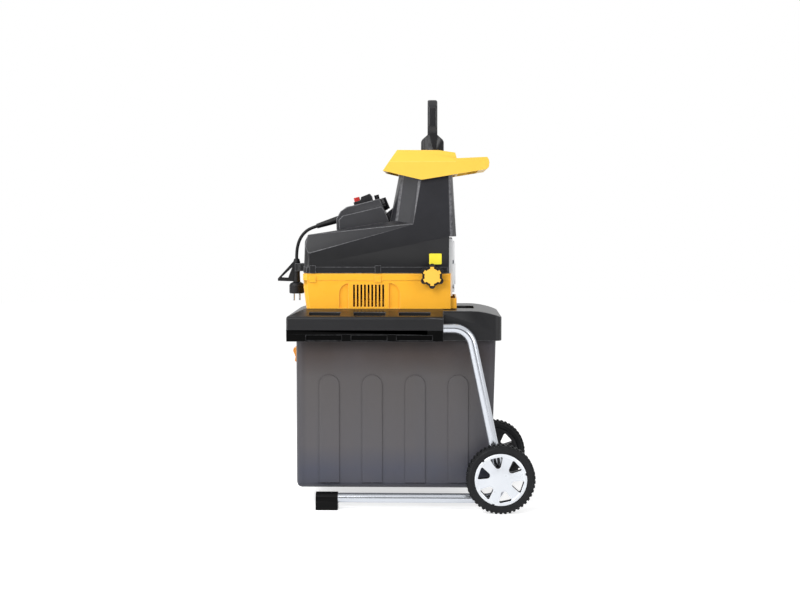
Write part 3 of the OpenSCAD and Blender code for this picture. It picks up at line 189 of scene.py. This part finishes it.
# finishes: every one is built from nodes on Object coordinates
plainLook = {
    "cloud": 0.9,
    "cloudScale": 9.0,
    "roughSpread": 0.06,
    "glossScale": 45.0,
    "grain": 1100.0,
    "grainStrength": 0.35,
    "grainDepth": 0.00008,
    "wearScale": 140.0,
    "metal": 0.0,
    "specular": 0.5,
}
# how fine each noise is, and how far a layer is mixed in at its least and at its most
noiseDetail = {"clouds": 3.0, "streaks": 4.0, "paintedEdgeAndWear": 4.0, "gloss": 5.0, "grain": 2.0}
layerShare = {"streaks": (0.25, 0.75), "paintedShadeBands": (0.1, 0.5), "paintedEdgeAndWear": (0.15, 0.85)}


def tint(code):
    # a colour code as linear light
    levels = [int(code[i:i + 2], 16) / 255 for i in (1, 3, 5)]
    linear = [(v / 12.92) if v <= 0.04045 else ((v + 0.055) / 1.055) ** 2.4 for v in levels]
    return (*linear, 1.0)


def addNode(tree, kind, **settings):
    node = tree.nodes.new(kind)
    for name, value in settings.items():
        setattr(node, name, value)
    return node


def noiseAt(tree, coords, scale, layer, roughness=0.55):
    noise = addNode(tree, "ShaderNodeTexNoise")
    noise.inputs["Scale"].default_value = scale
    noise.inputs["Detail"].default_value = noiseDetail[layer]
    noise.inputs["Roughness"].default_value = roughness
    tree.links.new(coords, noise.inputs["Vector"])
    return noise.outputs["Fac"]


def spread(tree, value, low, high, fromLow=0.3, fromHigh=0.7):
    span = addNode(tree, "ShaderNodeMapRange")
    span.inputs["From Min"].default_value = fromLow
    span.inputs["From Max"].default_value = fromHigh
    span.inputs["To Min"].default_value = low
    span.inputs["To Max"].default_value = high
    tree.links.new(value, span.inputs["Value"])
    return span.outputs["Result"]


def mixColours(tree, share, first, second):
    mix = addNode(tree, "ShaderNodeMix", data_type="RGBA")
    tree.links.new(share, mix.inputs["Factor"])
    for socket, colour in ((mix.inputs["A"], first), (mix.inputs["B"], second)):
        if isinstance(colour, tuple):
            socket.default_value = colour
        else:
            tree.links.new(colour, socket)
    return mix.outputs["Result"]


def edgeShare(tree, speckle):
    # radii with wear and a painted edge tone, broken up by a fine noise
    edge = addNode(tree, "ShaderNodeAttribute", attribute_name="paintedEdgeAndWearMask")
    product = addNode(tree, "ShaderNodeMath", operation="MULTIPLY")
    tree.links.new(edge.outputs["Fac"], product.inputs[0])
    tree.links.new(spread(tree, speckle, *layerShare["paintedEdgeAndWear"]), product.inputs[1])
    return product.outputs["Value"]


def paintedShadeByHeight(tree, coords, paintedShadeBands):
    # painted shade and light that change with the height on the piece
    height = addNode(tree, "ShaderNodeSeparateXYZ")
    tree.links.new(coords, height.inputs["Vector"])
    share = spread(tree, height.outputs["Z"], 0.0, 1.0, paintedShadeBands["low"], paintedShadeBands["high"])
    ramp = addNode(tree, "ShaderNodeValToRGB")
    stops = ramp.color_ramp.elements
    while len(stops) < len(paintedShadeBands["stops"]):
        stops.new(0.5)
    for stop, (place, code) in zip(stops, paintedShadeBands["stops"]):
        stop.position = place
        stop.color = tint(code)
    tree.links.new(share, ramp.inputs["Fac"])
    return ramp.outputs["Color"]


def paintedEndShadeShare(tree, coords, ends):
    # painted shade at the ends of the piece, along its length
    place = addNode(tree, "ShaderNodeSeparateXYZ")
    tree.links.new(coords, place.inputs["Vector"])
    either = addNode(tree, "ShaderNodeMath", operation="MAXIMUM")
    for side, (inner, outer) in enumerate((ends["front"], ends["back"])):
        low, high = sorted((inner, outer))
        start, stop = (ends["share"], 0.0) if outer < inner else (0.0, ends["share"])
        tree.links.new(spread(tree, place.outputs["X"], start, stop, low, high), either.inputs[side])
    return either.outputs["Value"]


def streakedColour(tree, coords, streaks):
    # upright streaks between two tints, as in tinted sheet that flowed into its mould
    stretch = addNode(tree, "ShaderNodeMapping")
    stretch.inputs["Scale"].default_value = streaks["stretch"]
    tree.links.new(coords, stretch.inputs["Vector"])
    share = spread(tree, noiseAt(tree, stretch.outputs["Vector"], 1.0, "streaks"), 0.0, 1.0)
    return mixColours(tree, share, tint(streaks["warm"]), tint(streaks["cool"]))


def newFinish(name, ownLook):
    # cloudy colour, streaks, painted shade by height and at the ends, edges with wear and a painted edge
    # tone, uneven gloss, fine grain
    look = {**plainLook, **ownLook}
    material = bpy.data.materials.new(name)
    material.use_nodes = True
    tree = material.node_tree
    shader = tree.nodes["Principled BSDF"]
    coords = addNode(tree, "ShaderNodeTexCoord").outputs["Object"]
    colour = tint(look["colour"])
    cloudy = tuple(v * look["cloud"] for v in colour[:3]) + (1.0,)
    clouds = spread(tree, noiseAt(tree, coords, look["cloudScale"], "clouds"), 0.0, 1.0)
    mixed = mixColours(tree, clouds, colour, cloudy)
    if "streaks" in look:
        mixed = mixColours(tree, spread(tree, clouds, *layerShare["streaks"], 0.0, 1.0), mixed,
                           streakedColour(tree, coords, look["streaks"]))
    # painted shade and light by height
    if "paintedShadeBands" in look:
        mixed = mixColours(tree, spread(tree, clouds, *layerShare["paintedShadeBands"], 0.0, 1.0),
                           paintedShadeByHeight(tree, coords, look["paintedShadeBands"]), mixed)
    # painted shade at the piece's ends
    if "ends" in look:
        mixed = mixColours(tree, paintedEndShadeShare(tree, coords, look["ends"]), mixed, tint(look["ends"]["colour"]))
    # edge radii take wear plus a painted edge tone: a painted highlight on most pieces, a painted shade line
    # on the smoke box
    speckle = noiseAt(tree, coords, look["wearScale"], "paintedEdgeAndWear")
    mixed = mixColours(tree, edgeShare(tree, speckle), mixed, tint(look["paintedEdgeAndWear"]))
    tree.links.new(mixed, shader.inputs["Base Color"])
    gloss = noiseAt(tree, coords, look["glossScale"], "gloss")
    lowest = look["rough"] - look["roughSpread"]
    highest = look["rough"] + look["roughSpread"]
    tree.links.new(spread(tree, gloss, lowest, highest), shader.inputs["Roughness"])
    bump = addNode(tree, "ShaderNodeBump")
    bump.inputs["Strength"].default_value = look["grainStrength"]
    bump.inputs["Distance"].default_value = look["grainDepth"]
    tree.links.new(noiseAt(tree, coords, look["grain"], "grain"), bump.inputs["Height"])
    tree.links.new(bump.outputs["Normal"], shader.inputs["Normal"])
    shader.inputs["Metallic"].default_value = look["metal"]
    shader.inputs["Specular IOR Level"].default_value = look["specular"]
    return material


# each look's edge colour is wear plus a painted edge highlight; the smoke box's is a painted shade line
looks = {
    "blackGrain": {"colour": "#19191d", "cloud": 0.88, "rough": 0.36, "roughSpread": 0.02, "paintedEdgeAndWear": "#6c6c70",
                   "specular": 0.34, "grainStrength": 0.2},
    # top cover: darker low down and lighter up the tower, painted light and shade as if lit from above
    "coverBlack": {"colour": "#18181b", "cloud": 0.9, "rough": 0.36, "roughSpread": 0.02, "paintedEdgeAndWear": "#78787c",
                   "specular": 0.34, "grainStrength": 0.2,
                   "paintedShadeBands": {"low": 0.60, "high": 0.78,
                             "stops": [(0.0, "#08080a"), (0.3, "#0c0c0e"), (0.62, "#212125"),
                                       (1.0, "#28282d")]}},
    # plunger and switch parts: the black painted lighter, as painted light from above
    "gripLitBlack": {"colour": "#212124", "cloud": 0.88, "rough": 0.3, "roughSpread": 0.02, "paintedEdgeAndWear": "#5c5c60",
                  "specular": 0.4, "grainStrength": 0.12},
    # switch console: the black painted lighter still, as painted light from above
    "consoleLitBlack": {"colour": "#37373a", "cloud": 0.88, "rough": 0.3, "roughSpread": 0.02, "paintedEdgeAndWear": "#6e6e72",
                     "specular": 0.4, "grainStrength": 0.12},
    "footBlack": {"colour": "#0a0a0b", "cloud": 0.85, "rough": 0.34, "paintedEdgeAndWear": "#252526", "specular": 0.1,
                  "grainStrength": 0.1},
    # deck skirt: a deeper black as painted shade under the deck's overhanging upper wall
    "skirtPaintedShade": {"colour": "#040404", "cloud": 0.9, "rough": 0.5, "roughSpread": 0.03, "paintedEdgeAndWear": "#4a4a4c",
                   "specular": 0.05, "grain": 700.0, "grainStrength": 0.1},
    "deckBlack": {"colour": "#1c1c1e", "cloud": 0.88, "rough": 0.36, "roughSpread": 0.02, "paintedEdgeAndWear": "#5a5a5d",
                  "specular": 0.3, "grain": 700.0, "grainStrength": 0.08},
    "orange": {"colour": "#fdb62c", "cloud": 0.95, "rough": 0.34, "paintedEdgeAndWear": "#ffd47a", "specular": 0.3},
    "latchOrange": {"colour": "#ec9a3f", "cloud": 0.93, "rough": 0.4, "paintedEdgeAndWear": "#f6bd7f", "specular": 0.3},
    "inlayYellow": {"colour": "#ffc64e", "cloud": 0.95, "rough": 0.36, "paintedEdgeAndWear": "#ffdb8c", "specular": 0.3},
    "yellow": {"colour": "#f3c54d", "cloud": 0.97, "rough": 0.4, "paintedEdgeAndWear": "#f9d165", "specular": 0.25},
    "smoke": {"colour": "#565559", "cloud": 0.92, "cloudScale": 5.0, "rough": 0.3, "paintedEdgeAndWear": "#302f33",
              "specular": 0.3, "roughSpread": 0.02, "grain": 260.0, "grainStrength": 0.02,
              # painted shade, darker and bluer towards both ends of the box
              "ends": {"front": (-0.268, -0.298), "back": (0.150, 0.220), "share": 0.55, "colour": "#33353f"},
              "streaks": {"stretch": (9.0, 9.0, 1.3), "warm": "#5f5654", "cool": "#4f525d"},
              # height bands: painted shadow of the deck and painted reflection of the orange base at the top,
              # darker and bluer towards the bottom
              "paintedShadeBands": {"low": 0.04, "high": 0.445,
                        "stops": [(0.0, "#3f414b"), (0.14, "#454857"), (0.3, "#585659"), (0.74, "#575352"),
                                  (0.88, "#40342e"), (0.96, "#2b1f18")]}},
    "red": {"colour": "#c2231d", "rough": 0.32, "paintedEdgeAndWear": "#e0574d"},
    "green": {"colour": "#2a8a40", "rough": 0.32, "paintedEdgeAndWear": "#5db173"},
    "silverPaint": {"colour": "#c4c8cf", "cloud": 0.98, "rough": 0.2, "roughSpread": 0.01, "metal": 0.9,
                    "grain": 160.0, "grainStrength": 0.005, "paintedEdgeAndWear": "#e4e6ea"},
    "silverPlastic": {"colour": "#dfe3e9", "cloud": 0.95, "rough": 0.32, "metal": 0.3, "grain": 2200.0,
                      "grainStrength": 0.04, "paintedEdgeAndWear": "#f6f7f9"},
    "tyre": {"colour": "#18191b", "cloud": 0.8, "rough": 0.6, "roughSpread": 0.1, "grain": 500.0,
             "grainStrength": 0.4, "paintedEdgeAndWear": "#333334", "specular": 0.22},
    "cordRubber": {"colour": "#131315", "cloud": 0.85, "rough": 0.5, "grain": 900.0, "specular": 0.25,
                   "paintedEdgeAndWear": "#2c2c2f"},
    "steel": {"colour": "#b4b8be", "cloud": 0.86, "rough": 0.28, "metal": 1.0, "grain": 1800.0,
              "paintedEdgeAndWear": "#d7dade"},
    "castAlloy": {"colour": "#fbfcfd", "cloud": 0.97, "rough": 0.42, "metal": 0.0, "grain": 420.0,
                  "grainStrength": 0.2, "paintedEdgeAndWear": "#f6f7f8"},
    # inside parts: dark grey paint, darker still as painted shade inside the housing behind the air slots
    "motorPaintAndShade": {"colour": "#26272a", "cloud": 0.8, "rough": 0.45, "metal": 0.2, "grain": 420.0,
                   "grainStrength": 0.2, "paintedEdgeAndWear": "#4a4b4e"},
    "bronze": {"colour": "#a8803f", "cloud": 0.85, "rough": 0.35, "metal": 1.0, "paintedEdgeAndWear": "#c9a566"},
    "copper": {"colour": "#b4642f", "cloud": 0.8, "rough": 0.4, "metal": 0.9, "grain": 300.0,
               "paintedEdgeAndWear": "#d08b57"},
    "label": {"colour": "#f6e63a", "cloud": 0.96, "rough": 0.3, "paintedEdgeAndWear": "#f7f4a0", "grainStrength": 0.05},
}
finishes = {name: newFinish(name, look) for name, look in looks.items()}
print("finishes made,", len(finishes))

# finish, record slot and CAD nodes that wear it
dressing = {
    "blackGrain": ("black_plastic", ["box_safety_switch", "feed_chute", "wheel_rim_left",
                                     "wheel_rim_right", "setting_knob", "cooling_fan"]),
    "coverBlack": ("black_plastic", ["top_cover"]),
    "gripLitBlack": ("black_plastic", ["plunger", "switch_frame", "reset_button", "direction_selector"]),
    "consoleLitBlack": ("black_plastic", ["switch_console"]),
    "footBlack": ("black_plastic", ["foot_left", "foot_right"]),
    "deckBlack": ("gloss_black", ["deck"]),
    "orange": ("orange_plastic", ["base_housing"]),
    "latchOrange": ("orange_plastic", ["box_latch"]),
    "inlayYellow": ("orange_plastic", ["knob_inlay"]),
    "yellow": ("yellow_plastic", ["hopper"]),
    "smoke": ("smoke_plastic", ["collection_box"]),
    "red": ("red_plastic", ["stop_button"]),
    "green": ("green_plastic", ["start_button"]),
    "silverPaint": ("silver_paint", ["frame_tube_left", "frame_tube_right"]),
    "silverPlastic": ("silver_plastic", ["hubcap_left", "hubcap_right"]),
    "tyre": ("tyre_rubber", ["tyre_left", "tyre_right"]),
    "cordRubber": ("cord_rubber", ["cord_boot", "power_cord", "plug"]),
    "steel": ("steel", ["deck_screws", "axle", "axle_retainers", "end_cover_screws", "cutter_drum",
                        "drum_shaft", "drum_bearings", "drum_gear", "idler_shaft", "idler_gear",
                        "motor_stator", "motor_rotor", "motor_shaft", "motor_bearings", "counter_plate",
                        "setting_spindle", "plug_pins"]),
    "castAlloy": ("cast_alloy", ["cutter_end_cover", "run_capacitor"]),
    "motorPaintAndShade": ("cast_alloy", ["cutter_housing", "gearbox_case", "gearbox_plate", "motor_frame"]),
    "bronze": ("bronze", ["spindle_bush", "idler_bushes"]),
    "copper": ("copper_winding", ["motor_windings"]),
}
finishOf = {}
for finishName, (slotName, members) in dressing.items():
    for nodeName in members:
        finishOf[nodeName] = (finishes[finishName], slotName)
for nodeName, node in nodes.items():
    node.data.materials.clear()
    node.data.materials.append(finishOf[nodeName][0])
print("CAD nodes dressed")

# cord, from the boot's tip down to the plug's collar
cordLead = {
    "diameter": 0.0085,
    "length": 0.114,
    "roundSteps": 6,
    "route": [(-0.2543, 0.728), (-0.261, 0.7257), (-0.268, 0.7231), (-0.2745, 0.720), (-0.2805, 0.7163),
              (-0.286, 0.7118), (-0.291, 0.7066), (-0.2955, 0.7006), (-0.2994, 0.694), (-0.3025, 0.687),
              (-0.3049, 0.6796), (-0.3067, 0.672), (-0.3079, 0.6643), (-0.3086, 0.6565), (-0.309, 0.6487),
              (-0.309, 0.641)],
}


def makeCord(lead):
    curve = bpy.data.curves.new("powerLead", "CURVE")
    curve.dimensions = "3D"
    curve.bevel_depth = lead["diameter"] / 2
    curve.bevel_resolution = lead["roundSteps"]
    curve.use_fill_caps = True
    spline = curve.splines.new("BEZIER")
    spline.bezier_points.add(len(lead["route"]) - 1)
    for point, (x, z) in zip(spline.bezier_points, lead["route"]):
        point.co = (x, 0.0, z)
        point.handle_left_type = "AUTO"
        point.handle_right_type = "AUTO"
    piece = bpy.data.objects.new("powerLead", curve)
    bpy.context.scene.collection.objects.link(piece)
    curve.materials.append(finishes["cordRubber"])
    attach(piece, "machine")
    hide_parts("power_cord")


# places and lengths in metres that tell a shell's edges apart, and how upright an edge has to be
edgePlaces = {
    "uprightness": 0.85,
    "towerFoot": 0.70,
    "towerRun": 0.05,
    "coverFront": -0.24,
    "shoulderSide": 0.196,
    "shoulderFoot": 0.49,
    "noseFront": -0.31,
    "noseFoot": 0.437,
    "fluteFace": 0.1525,
    "gripFoot": 0.935,
    "gripRun": 0.02,
}


def upright(edge):
    return abs(heading(edge).z) > edgePlaces["uprightness"]


def towerCorner(edge):
    tall = edge.calc_length() > edgePlaces["towerRun"]
    return upright(edge) and tall and middle(edge).z > edgePlaces["towerFoot"]


def coverCorner(edge):
    place = middle(edge)
    return upright(edge) and place.z < edgePlaces["towerFoot"] and place.x < edgePlaces["coverFront"]


def deckShoulder(edge):
    place = middle(edge)
    return abs(place.y) > edgePlaces["shoulderSide"] and place.z > edgePlaces["shoulderFoot"]


def deckRim(edge):
    # side shoulders and the nose, with its upright corners
    place = middle(edge)
    nose = place.x < edgePlaces["noseFront"] and place.z > edgePlaces["noseFoot"]
    return nose or deckShoulder(edge)


def fluteOutline(edge):
    return all(abs(vert.co.y) > edgePlaces["fluteFace"] for vert in edge.verts)


def gripEdge(edge):
    return middle(edge).z > edgePlaces["gripFoot"] and edge.calc_length() > edgePlaces["gripRun"]


def anyEdge(edge):
    return True


# radii of each shell, as test, radius and segments: marked edges first, the other outer edges last
shellSettings = {
    "deck": [(deckRim, 0.006, 5), (anyEdge, 0.0012, 2)],
    "base_housing": [(anyEdge, 0.0006, 2)],
    "top_cover": [(towerCorner, 0.005, 4), (coverCorner, 0.005, 4), (anyEdge, 0.0010, 2)],
    "hopper": [(anyEdge, 0.0008, 2)],
    "plunger": [(gripEdge, 0.006, 5), (anyEdge, 0.002, 3)],
    "collection_box": [(fluteOutline, 0.0028, 4), (anyEdge, 0.0006, 2)],
    "box_latch": [(anyEdge, 0.0008, 2)],
    "cutter_end_cover": [(anyEdge, 0.0010, 2)],
    "setting_knob": [(anyEdge, 0.0008, 2)],
    "knob_inlay": [],
    "switch_console": [(anyEdge, 0.0022, 3)],
    "switch_frame": [(anyEdge, 0.0006, 2)],
    "stop_button": [(anyEdge, 0.0008, 2)],
    "start_button": [(anyEdge, 0.0008, 2)],
    "reset_button": [(anyEdge, 0.0005, 2)],
    "direction_selector": [(anyEdge, 0.0006, 2)],
    "foot_left": [(anyEdge, 0.0008, 2)],
    "foot_right": [(anyEdge, 0.0008, 2)],
    "hubcap_left": [(anyEdge, 0.0005, 2)],
    "hubcap_right": [(anyEdge, 0.0005, 2)],
    "plug": [(anyEdge, 0.0006, 2)],
}


def breadth(face, edge):
    return face.calc_area() / max(edge.calc_length(), shellRules["shortest"])


def roundable(edge, width):
    # outer corners with room for the radius on both sides
    if not edge.is_convex or sharpness(edge) < shellRules["cornerAngle"]:
        return False
    if edge.calc_length() < 2 * width:
        return False
    return all(breadth(face, edge) > shellRules["room"] * width for face in edge.link_faces)


# the deck's skirt under the groove, which carries painted shade
skirt = {"top": 0.4635, "side": 0.18}


def splitSkirt(piece):
    # the deck's walls are cut level with the groove's top, so that the painted shade below has faces of its
    # own
    makeActive(piece)
    bpy.ops.object.mode_set(mode="EDIT")
    bpy.ops.mesh.select_all(action="SELECT")
    bpy.ops.mesh.bisect(plane_co=(0, 0, skirt["top"]), plane_no=(0, 0, 1))
    bpy.ops.object.mode_set(mode="OBJECT")


def paintSkirtShade(piece):
    # the outer faces under the cut take a deeper black, painted shade under the overhanging upper wall
    piece.data.materials.append(finishes["skirtPaintedShade"])
    for polygon in piece.data.polygons:
        if polygon.center.z < skirt["top"] and abs(polygon.center.y) > skirt["side"]:
            polygon.material_index = 1


inlayShare = 0.92


def shrinkInlay(piece):
    # leaves the knob's black rim showing all round
    low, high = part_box("knob_inlay")
    axis = [(a + b) / 2 for a, b in zip(low, high)]
    makeActive(piece)
    bpy.ops.object.mode_set(mode="EDIT")
    bpy.ops.mesh.select_all(action="SELECT")
    bpy.ops.transform.resize(value=(inlayShare, 1.0, inlayShare), center_override=axis)
    bpy.ops.object.mode_set(mode="OBJECT")


# edges whose radii show wear and a painted edge tone; on the tower's corners it is a painted highlight
paintedEdgeAndWearTests = (anyEdge, fluteOutline, towerCorner)


def roundedShell(nodeName, passes):
    piece = shellCopy(nodeName, nodeName + "_shell")
    if nodeName == "knob_inlay":
        shrinkInlay(piece)
    if nodeName == "deck":
        splitSkirt(piece)
    for wanted, width, segments in passes:
        count = pickEdges(piece, lambda edge: wanted(edge) and roundable(edge, width))
        bevelPicked(count, width, segments, paintedEdgeAndWearOn=wanted in paintedEdgeAndWearTests)
        print("rounded", nodeName, wanted.__name__, count)
    smoothFinish(piece)
    markEdges(piece)
    seat(piece, nodeName, *finishOf[nodeName])
    return piece


shells = {nodeName: roundedShell(nodeName, passes) for nodeName, passes in shellSettings.items()}
paintSkirtShade(shells["deck"])
makeCord(cordLead)
print("cord laid")

# blank label plate on the cover, above and behind the knob
labelSettings = {
    "middle": (0.0633, -0.1152, 0.644),
    "size": (0.0325, 0.0005, 0.028),
    "corner": 0.0025,
    "cornerSteps": 5,
    "border": 0.0016,
    "field": 0.00015,
    "facing": 0.9,
}


def makeLabel(settings):
    deselectAll()
    bpy.ops.mesh.primitive_cube_add(size=1.0, location=settings["middle"])
    piece = bpy.context.object
    piece.name = "blankLabel"
    piece.scale = settings["size"]
    bpy.ops.object.transform_apply(location=True, rotation=True, scale=True)
    count = pickEdges(piece, lambda edge: abs(heading(edge).y) > settings["facing"])
    bevelPicked(count, settings["corner"], settings["cornerSteps"])
    bpy.ops.object.mode_set(mode="EDIT")
    bpy.ops.mesh.select_mode(type="FACE")
    bpy.ops.mesh.select_all(action="DESELECT")
    sheet = bmesh.from_edit_mesh(piece.data)
    for face in sheet.faces:
        face.select_set(face.normal.y < -settings["facing"])
    bmesh.update_edit_mesh(piece.data)
    bpy.ops.mesh.inset(thickness=settings["border"], depth=0.0)
    bpy.ops.mesh.inset(thickness=settings["field"], depth=-settings["field"])
    bpy.ops.object.mode_set(mode="OBJECT")
    smoothFinish(piece)
    for polygon in piece.data.polygons:
        polygon.material_index = flatSlot
    piece.data.materials.append(finishes["label"])
    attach(piece, "machine")


makeLabel(labelSettings)
print("label set")

# studio: pale floor, soft light, white surroundings
studio = {
    "floorRadius": 9.0,
    "floorSides": 96,
    "floorShade": 0.8,
    "floorLift": 0.62,
    "softLight": 0.5,
}


def seenRay(tree):
    # 1 for rays that show the background: camera, glossy, transmission
    path = addNode(tree, "ShaderNodeLightPath")
    first = addNode(tree, "ShaderNodeMath", operation="MAXIMUM")
    tree.links.new(path.outputs["Is Camera Ray"], first.inputs[0])
    tree.links.new(path.outputs["Is Glossy Ray"], first.inputs[1])
    second = addNode(tree, "ShaderNodeMath", operation="MAXIMUM")
    tree.links.new(first.outputs["Value"], second.inputs[0])
    tree.links.new(path.outputs["Is Transmission Ray"], second.inputs[1])
    return second.outputs["Value"]


def addFloor():
    deselectAll()
    bpy.ops.mesh.primitive_circle_add(vertices=studio["floorSides"], radius=studio["floorRadius"],
                                      fill_type="NGON")
    floor = bpy.context.object
    floor.name = "studioFloor"
    material = bpy.data.materials.new("paleFloor")
    material.use_nodes = True
    tree = material.node_tree
    tree.nodes.remove(tree.nodes["Principled BSDF"])
    diffuse = addNode(tree, "ShaderNodeBsdfDiffuse")
    diffuse.inputs["Color"].default_value = (*[studio["floorShade"]] * 3, 1.0)
    glow = addNode(tree, "ShaderNodeEmission")
    glow.inputs["Color"].default_value = (1.0, 1.0, 1.0, 1.0)
    lift = addNode(tree, "ShaderNodeMath", operation="MULTIPLY")
    lift.inputs[1].default_value = studio["floorLift"]
    tree.links.new(seenRay(tree), lift.inputs[0])
    tree.links.new(lift.outputs["Value"], glow.inputs["Strength"])
    both = addNode(tree, "ShaderNodeAddShader")
    tree.links.new(diffuse.outputs["BSDF"], both.inputs[0])
    tree.links.new(glow.outputs["Emission"], both.inputs[1])
    tree.links.new(both.outputs["Shader"], tree.nodes["Material Output"].inputs["Surface"])
    floor.data.materials.append(material)


# dark card behind the camera, which gives the gloss something dark to show
darkCard = {
    "middle": (0.0, -5.4, 1.2),
    "size": (6.0, 2.4),
    "corner": 0.3,
    "cornerSteps": 8,
    "shade": 0.02,
}


def addDarkCard(card):
    deselectAll()
    bpy.ops.mesh.primitive_plane_add(size=1.0)
    piece = bpy.context.object
    piece.name = "darkCard"
    piece.scale = (*card["size"], 1.0)
    piece.rotation_euler.x = math.radians(90)
    piece.location = card["middle"]
    bpy.ops.object.transform_apply(location=True, rotation=True, scale=True)
    bpy.ops.object.mode_set(mode="EDIT")
    bpy.ops.mesh.select_all(action="SELECT")
    bpy.ops.mesh.bevel(offset=card["corner"], segments=card["cornerSteps"], affect="VERTICES")
    bpy.ops.object.mode_set(mode="OBJECT")
    material = bpy.data.materials.new("darkFelt")
    material.use_nodes = True
    shader = material.node_tree.nodes["Principled BSDF"]
    shader.inputs["Base Color"].default_value = (*[card["shade"]] * 3, 1.0)
    shader.inputs["Roughness"].default_value = 1.0
    shader.inputs["Specular IOR Level"].default_value = 0.0
    piece.data.materials.append(material)
    piece.visible_camera = False
    piece.visible_diffuse = False
    piece.visible_shadow = False


def addWorld(softLight):
    world = bpy.data.worlds.new("whiteStudio")
    bpy.context.scene.world = world
    world.use_nodes = True
    tree = world.node_tree
    dim = tree.nodes["Background"]
    dim.inputs["Color"].default_value = (1.0, 1.0, 1.0, 1.0)
    dim.inputs["Strength"].default_value = softLight
    white = addNode(tree, "ShaderNodeBackground")
    white.inputs["Color"].default_value = (1.0, 1.0, 1.0, 1.0)
    white.inputs["Strength"].default_value = 1.0
    mix = addNode(tree, "ShaderNodeMixShader")
    tree.links.new(seenRay(tree), mix.inputs["Fac"])
    tree.links.new(dim.outputs["Background"], mix.inputs[1])
    tree.links.new(white.outputs["Background"], mix.inputs[2])
    tree.links.new(mix.outputs["Shader"], tree.nodes["World Output"].inputs["Surface"])


lamps = {
    "keySoftbox": {"place": (-1.3, -3.0, 1.9), "aim": (0.0, 0.0, 0.55), "size": 1.4, "power": 45.0},
    "stripSoftbox": {"place": (-2.6, -1.5, 0.9), "aim": (0.0, 0.0, 0.6), "size": 1.0, "power": 12.0},
    "fillSoftbox": {"place": (2.4, -2.2, 1.4), "aim": (0.0, 0.0, 0.5), "size": 1.4, "power": 26.0},
    "topSoftbox": {"place": (-1.5, -0.8, 2.3), "aim": (-0.15, 0.0, 0.7), "size": 1.0, "power": 22.0},
}


def addLamp(name, lamp):
    bpy.ops.object.light_add(type="AREA", location=lamp["place"])
    light = bpy.context.object
    light.name = name
    light.data.energy = lamp["power"]
    light.data.size = lamp["size"]
    aim = Vector(lamp["aim"]) - Vector(lamp["place"])
    light.rotation_euler = aim.to_track_quat("-Z", "Y").to_euler()


addFloor()
addDarkCard(darkCard)
addWorld(studio["softLight"])
for lampName, lamp in lamps.items():
    addLamp(lampName, lamp)
bpy.context.scene.view_settings.view_transform = "Standard"
print("studio lit")
